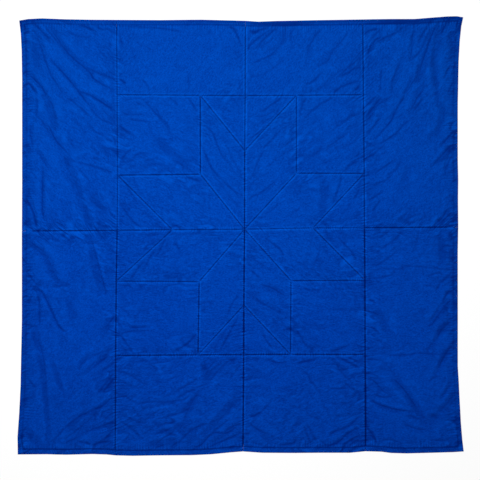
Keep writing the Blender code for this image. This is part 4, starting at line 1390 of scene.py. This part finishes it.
# Stitches of the hem, in millimetres: each section's place along the thread, its girth and its rise
STITCH_PITCH = 4.2
STITCH_LENGTH = 3.3
STITCH_AIM = 0.4
THREAD = 0.55
THREAD_FLATNESS = 1.15
STITCH_SECTIONS = ((-0.5, 0.35, -0.35), (0.0, 1.0, 0.25), (0.5, 0.35, -0.35))
SECTION_CORNERS = ((-1, 0), (0, 1), (1, 0), (0, -1))

# Colours, linear, then shares of them: full, deeper dye and painted shade, painted shade in seams, paler
# dye, painted highlight and wear, and painted light towards the top
POINT_BLUE = (0.000, 0.0520, 0.450)
FIELD_BLUE = (0.000, 0.0505, 0.446)
THREAD_BLUE = (0.000, 0.060, 0.420)
FULL_SHARE = (1.0, 1.0, 1.0)
DEEP_DYE_AND_SHADE_SHARE = (1.0, 0.34, 0.48)
SEAM_SHADE_SHARE = (1.0, 0.08, 0.26)
FADED_SHARE = (1.0, 1.45, 1.25)
BRIGHT_SHARE = (1.0, 1.75, 1.45)
# Painted light: how much greener each tone turns towards the top, and the heights in metres over which it
# turns
UPPER_LIGHT_SHARE = (1.0, 1.13, 1.0)
UPPER_LIGHT_FROM, UPPER_LIGHT_TO = -0.5, 0.6
GLEAM_BLUE = (0.0, 0.35, 1.0, 1.0)
SHEEN_BLUE = (0.0, 0.25, 1.0, 1.0)
WHITE = (1.0, 1.0, 1.0, 1.0)

# Cotton and sewing thread: the weave's pitch in metres, then the scales at which noises are read
THREAD_PITCH = 0.0009
WAVE_TURNS = 20 / (2 * math.pi)
SLUB_SCALES = ((60.0, 900.0, 60.0), (900.0, 60.0, 60.0))
NAP_SCALE = 420.0
RUMPLE_SCALE = 95.0
CLOUD_SCALE = 5.0
BLOTCH_SCALE = 26.0
MOTTLE_SCALES = (125.0, 225.0, 170.0)
CRINKLE_SCALES = (58.0, 130.0, 60.0)
TWIST_SCALE = 420.0
FUZZ_SCALE = 1500.0

# Floor: half sizes in metres of the whole and of the part that the blanket covers
FLOOR_HALVES = ((60.0, 60.0), (0.98, 0.96))
FLOOR_Z = -0.0004
FLOOR_WHITE = (0.25, 0.25, 0.25)
FLOOR_DIMMED = (0.985, 0.985, 0.985)
PAPER_SCALE = 3.0
FLOOR_GLOW = 0.79

# Light: the lamp's size and place in metres, and the power of both lights
LAMP_SIZE = 0.9
LAMP_PLACE = (-0.38, 0.62, 2.9)
LAMP_POWER = 73.2
WORLD_GLOW = 0.36

# The photograph's frame: pixels across, millimetres of blanket for each, and the pixel over the origin
FRAME_PIXELS = 480
MM_PER_PIXEL = 4.587
ORIGIN_PIXEL = (240.6, 236.0)
CAMERA_HEIGHT = 6.0
CAMERA_SENSOR = 36.0


def feed(tree, node, inputs):
    """Gives inputs, named or numbered, their value or the socket that feeds them."""
    for socket, value in inputs.items():
        if isinstance(value, bpy.types.NodeSocket):
            tree.links.new(value, node.inputs[socket])
        else:
            node.inputs[socket].default_value = value


def add_node(tree, kind, inputs=(), **settings):
    """Adds a node with its settings and inputs."""
    made = tree.nodes.new(kind)
    for name, value in settings.items():
        setattr(made, name, value)
    feed(tree, made, dict(inputs))
    return made


def new_material(name):
    """A new material, its node tree and the shader of its surface."""
    material = bpy.data.materials.new(name)
    material.use_nodes = True
    return material, material.node_tree, material.node_tree.nodes["Principled BSDF"]


def object_place(tree):
    """The place of a point in its object, which is its place in the frame."""
    return add_node(tree, "ShaderNodeTexCoord").outputs["Object"]


def scaled(tree, socket, low, high):
    """A factor between 0 and 1 stretched to run from low to high."""
    return add_node(tree, "ShaderNodeMapRange", {"Value": socket, "To Min": low, "To Max": high}).outputs[0]


def times(tree, first, second):
    """The product of two values."""
    return add_node(tree, "ShaderNodeMath", {0: first, 1: second}, operation="MULTIPLY").outputs[0]


def plus(tree, first, second):
    """The sum of two values."""
    return add_node(tree, "ShaderNodeMath", {0: first, 1: second}, operation="ADD").outputs[0]


def blended(tree, factor, first, second):
    """One colour going over to another."""
    return add_node(
        tree, "ShaderNodeMix", {0: factor, 6: first, 7: second}, data_type="RGBA").outputs[2]


def mapped(tree, place, change, value):
    """A place after the rotation or the scale given."""
    return add_node(tree, "ShaderNodeMapping", {"Vector": place, change: value}).outputs[0]


def noise(tree, place, scale, detail, distortion=0.0):
    """Soft noise between 0 and 1."""
    inputs = {"Vector": place, "Scale": scale, "Detail": detail, "Distortion": distortion}
    return add_node(tree, "ShaderNodeTexNoise", inputs).outputs[0]


def bumped(tree, *layers):
    """The normal of bumps laid one over another, each with its height, strength and size in metres."""
    under = {}
    for height, strength, distance in layers:
        inputs = {"Height": height, "Strength": strength, "Distance": distance, **under}
        under = {"Normal": add_node(tree, "ShaderNodeBump", inputs).outputs[0]}
    return under["Normal"]


def tinted(colour, share):
    """A colour with each of its parts taken in a share."""
    return [part * s for part, s in zip(colour, share)]


def cotton(name, colour, grain, lie):
    """Cotton in one blue dye whose threads run at one angle and its fine crinkles at another, with painted
    shade in hollows, seams and crinkles, painted highlight and wear on raised cloth, and painted light
    towards the top.
    """
    material, tree, shader = new_material(name)
    place = object_place(tree)
    grained = mapped(tree, place, "Rotation", (0.0, 0.0, grain))
    leaning = mapped(tree, place, "Rotation", (0.0, 0.0, -lie))
    waves = {"Vector": grained, "Scale": 1 / (WAVE_TURNS * THREAD_PITCH),
             "Distortion": 1.6, "Detail": 1.0, "Detail Scale": 0.6}
    threads = [
        add_node(tree, "ShaderNodeTexWave", waves, bands_direction=direction).outputs["Fac"]
        for direction in ("X", "Y")]
    weave = times(tree, *threads)
    slubs = [noise(tree, mapped(tree, grained, "Scale", scales), 1.0, 2.0) for scales in SLUB_SCALES]
    slub = plus(tree, times(tree, slubs[0], 0.5), times(tree, slubs[1], 0.5))
    nap = noise(tree, place, NAP_SCALE, 4.0)
    rumple = noise(tree, place, RUMPLE_SCALE, 3.0, 0.4)
    cloud = noise(tree, place, CLOUD_SCALE, 3.0)
    blotch = noise(tree, place, BLOTCH_SCALE, 4.0)
    mottle = noise(tree, mapped(tree, leaning, "Scale", MOTTLE_SCALES), 1.0, 2.0)
    crinkle = noise(tree, mapped(tree, leaning, "Scale", CRINKLE_SCALES), 1.0, 2.5, 0.5)
    painted_seam_shade, painted_shade, highlight_and_wear, fuss = (
        add_node(tree, "ShaderNodeAttribute", attribute_name=tint).outputs["Fac"]
        for tint in ("painted_seam_shade", "painted_shade", "highlight_and_wear", "fuss"))

    # Painted light: each tone turns greener towards the top, nearer the lamp
    upward = add_node(tree, "ShaderNodeSeparateXYZ", {"Vector": place}).outputs["Y"]
    span = {"Value": upward, "From Min": UPPER_LIGHT_FROM, "From Max": UPPER_LIGHT_TO}
    upper_light = add_node(tree, "ShaderNodeMapRange", span).outputs[0]
    tones = []
    for share in (FULL_SHARE, DEEP_DYE_AND_SHADE_SHARE, SEAM_SHADE_SHARE, FADED_SHARE, BRIGHT_SHARE):
        low = tinted(colour, share)
        high = tinted(low, UPPER_LIGHT_SHARE)
        tones.append(blended(tree, upper_light, (*low, 1.0), (*high, 1.0)))
    # deep is deeper dye in mottles and the painted shade of hollows; bright is painted highlight and wear
    dye_and_painted_light, deep, seam_shade_tone, faded, bright = tones
    for factor, tone in (
        (scaled(tree, slub, -0.25, 0.75), faded),
        (scaled(tree, cloud, -0.35, 0.65), faded),
        (scaled(tree, blotch, -0.10, 0.32), deep),
        (scaled(tree, mottle, -1.13, 1.40), deep),
        (scaled(tree, mottle, 1.29, -1.56), faded),
        # Painted shade in the hollows of the fine crinkles, following the crinkle bump
        (times(tree, fuss, scaled(tree, crinkle, 1.10, -0.80)), deep),
        # Painted highlight, with wear on raised cloth
        (times(tree, highlight_and_wear, scaled(tree, nap, 0.6, 1.2)), bright),
        (scaled(tree, weave, 0.16, 0.0), deep),
        # Painted shade in creases, wrinkles, gathers, puckers and along the hem
        (painted_shade, deep),
        # Painted shade in the seams and along the hem's stitch line
        (times(tree, painted_seam_shade, 0.95), seam_shade_tone),
    ):
        dye_and_painted_light = blended(tree, factor, dye_and_painted_light, tone)

    relief = bumped(
        tree,
        (times(tree, crinkle, fuss), 1.0, 0.0035),
        (rumple, 0.8, 0.0030),
        (nap, 0.5, 0.0004),
        (plus(tree, weave, slub), 0.5, 0.00025),
    )
    feed(tree, shader, {
        "Base Color": dye_and_painted_light, "Roughness": scaled(tree, nap, 0.74, 0.94), "Metallic": 0.0, "Normal": relief,
        "Specular IOR Level": 0.10, "Specular Tint": GLEAM_BLUE,
        "Sheen Weight": 0.10, "Sheen Roughness": 0.55, "Sheen Tint": SHEEN_BLUE,
    })
    return material


def sewing_thread():
    """Twisted cotton thread of the same blue."""
    material, tree, shader = new_material("sewing_thread")
    place = object_place(tree)
    waves = {"Vector": place, "Scale": TWIST_SCALE, "Distortion": 2.0}
    twist = add_node(tree, "ShaderNodeTexWave", waves, bands_direction="DIAGONAL").outputs["Fac"]
    fuzz = noise(tree, place, FUZZ_SCALE, 2.0)
    dark = (*tinted(THREAD_BLUE, DEEP_DYE_AND_SHADE_SHARE), 1.0)
    feed(tree, shader, {
        "Base Color": blended(tree, times(tree, twist, 0.6), (*THREAD_BLUE, 1.0), dark),
        "Roughness": scaled(tree, fuzz, 0.55, 0.75), "Specular IOR Level": 0.3, "Specular Tint": GLEAM_BLUE,
        "Normal": bumped(tree, (plus(tree, twist, fuzz), 0.6, 0.0002)),
    })
    return material


def stitch_row(path):
    """Middle points and directions of the stitches along a closed path."""
    path = np.vstack((path, path[:1]))
    length = step_lengths(path).sum()
    count = int(length / STITCH_PITCH)
    shares = (np.arange(count) + 0.5) / count
    half = STITCH_AIM * STITCH_PITCH / length
    middle = along_path(path, shares)
    ahead = along_path(path, np.minimum(shares + half, 1)) - along_path(path, np.maximum(shares - half, 0))
    return middle, ahead / np.hypot(*ahead.T)[:, None]


def stitches(name, middle, ahead):
    """Stitches as one joined mesh: each is a short thread that dives into the cloth at both ends."""
    across = np.column_stack((-ahead[:, 1], ahead[:, 0]))
    vertices = []
    for shift, girth, rise in STITCH_SECTIONS:
        centre = middle + shift * STITCH_LENGTH * ahead
        top = cloth_shape(centre)[1]
        radius = THREAD / 2 * girth
        for side, up in SECTION_CORNERS:
            spot = centre + side * radius * THREAD_FLATNESS * across
            vertices.append(np.column_stack((spot, top + rise * THREAD + up * radius)))
    per = len(vertices)
    vertices = np.stack(vertices, 1).reshape(-1, 3)
    corners = len(SECTION_CORNERS)
    rings = [[first + k for k in range(corners)] for first in range(0, per, corners)]
    shape = [rings[0][::-1], rings[-1]]
    for near, far in zip(rings, rings[1:]):
        for start, end in sides_of(list(range(corners))):
            shape.append([near[start], near[end], far[end], far[start]])
    faces = [[start + k for k in face] for start in range(0, len(vertices), per) for face in shape]
    mesh = bpy.data.meshes.new(name)
    mesh.from_pydata((vertices * MM).tolist(), [], faces)
    mesh.shade_smooth()
    mesh.materials.append(sewing_thread())
    return placed(name, mesh)


def grain_of(name, corner_names):
    """The direction of a patch's threads: along a star point's own side, and upright elsewhere."""
    if not name.startswith("point"):
        return 0.0
    apex, corner = points(corner_names[1:3])
    return -math.atan2(corner[1] - apex[1], corner[0] - apex[0])


def lie_of(outline):
    """The direction in which a patch's fine wrinkles lie."""
    return float(lie_at(outline.mean(0)[None])[0][0])


def make_patches():
    """Every patch as a sheet that replaces its solid."""
    for name, corner_names in PATCHES.items():
        outline, area = patch_outline(corner_names)
        piece = thin_sheet(name + "_cloth", outline)
        kind = "star" if name.startswith("point") else "field"
        colour = POINT_BLUE if kind == "star" else FIELD_BLUE
        grain, lie = grain_of(name, corner_names), lie_of(outline)
        piece.data.materials.append(cotton(name + "_cotton", colour, grain, lie))
        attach(piece, "root")
        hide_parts(name)


def make_stitches():
    """The row of stitches that holds the hem."""
    piece = stitches("hem_stitches", *stitch_row(drawn_in(HEM, stitch_away(HEM[:, 1]))))
    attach(piece, "root")


def floor_material(name, glow):
    """Plain pale paper that glows so that it shows nearly white."""
    material, tree, shader = new_material(name)
    dimmer = (*tinted(FLOOR_WHITE, FLOOR_DIMMED), 1.0)
    grain = noise(tree, object_place(tree), PAPER_SCALE, 2.0)
    feed(tree, shader, {
        "Base Color": blended(tree, grain, (*FLOOR_WHITE, 1.0), dimmer),
        "Roughness": 0.9, "Specular IOR Level": 0.0, "Emission Color": WHITE, "Emission Strength": glow,
    })
    return material


def make_floor():
    """A plain pale floor just under the blanket, without a glow where the blanket covers it."""
    rings = []
    for half_x, half_y in FLOOR_HALVES:
        rings += [(x * half_x, y * half_y, FLOOR_Z) for x, y in ((-1, -1), (1, -1), (1, 1), (-1, 1))]
    faces = [(k, (k + 1) % 4, 4 + (k + 1) % 4, 4 + k) for k in range(4)] + [(4, 5, 6, 7)]
    mesh = bpy.data.meshes.new("floor")
    mesh.from_pydata(rings, [], faces)
    mesh.materials.append(floor_material("pale_floor", FLOOR_GLOW))
    mesh.materials.append(floor_material("covered_floor", 0.0))
    mesh.polygons[-1].material_index = 1
    floor = placed("floor", mesh)


def make_light():
    """Soft studio light: one broad lamp above the upper left part and an even glow all round."""
    lamp = bpy.data.lights.new("key", "AREA")
    lamp.shape = "DISK"
    lamp.size = LAMP_SIZE
    lamp.energy = LAMP_POWER
    placed("key", lamp).location = LAMP_PLACE
    world = bpy.data.worlds.new("studio")
    world.use_nodes = True
    glow = world.node_tree.nodes["Background"]
    feed(world.node_tree, glow, {"Color": WHITE, "Strength": WORLD_GLOW})
    bpy.context.scene.world = world


def make_camera():
    """A camera straight above that takes in the photograph's frame."""
    pixel = MM_PER_PIXEL * MM
    data = bpy.data.cameras.new("camera")
    data.sensor_width = CAMERA_SENSOR
    data.lens = CAMERA_SENSOR * CAMERA_HEIGHT / (FRAME_PIXELS * pixel)
    camera = placed("camera", data)
    across, down = ORIGIN_PIXEL
    middle = FRAME_PIXELS / 2
    camera.location = ((middle - across) * pixel, (down - middle) * pixel, CAMERA_HEIGHT)
    bpy.context.scene.camera = camera
    bpy.context.scene.view_settings.view_transform = "Standard"


make_camera()
make_light()
make_floor()
make_patches()
make_stitches()
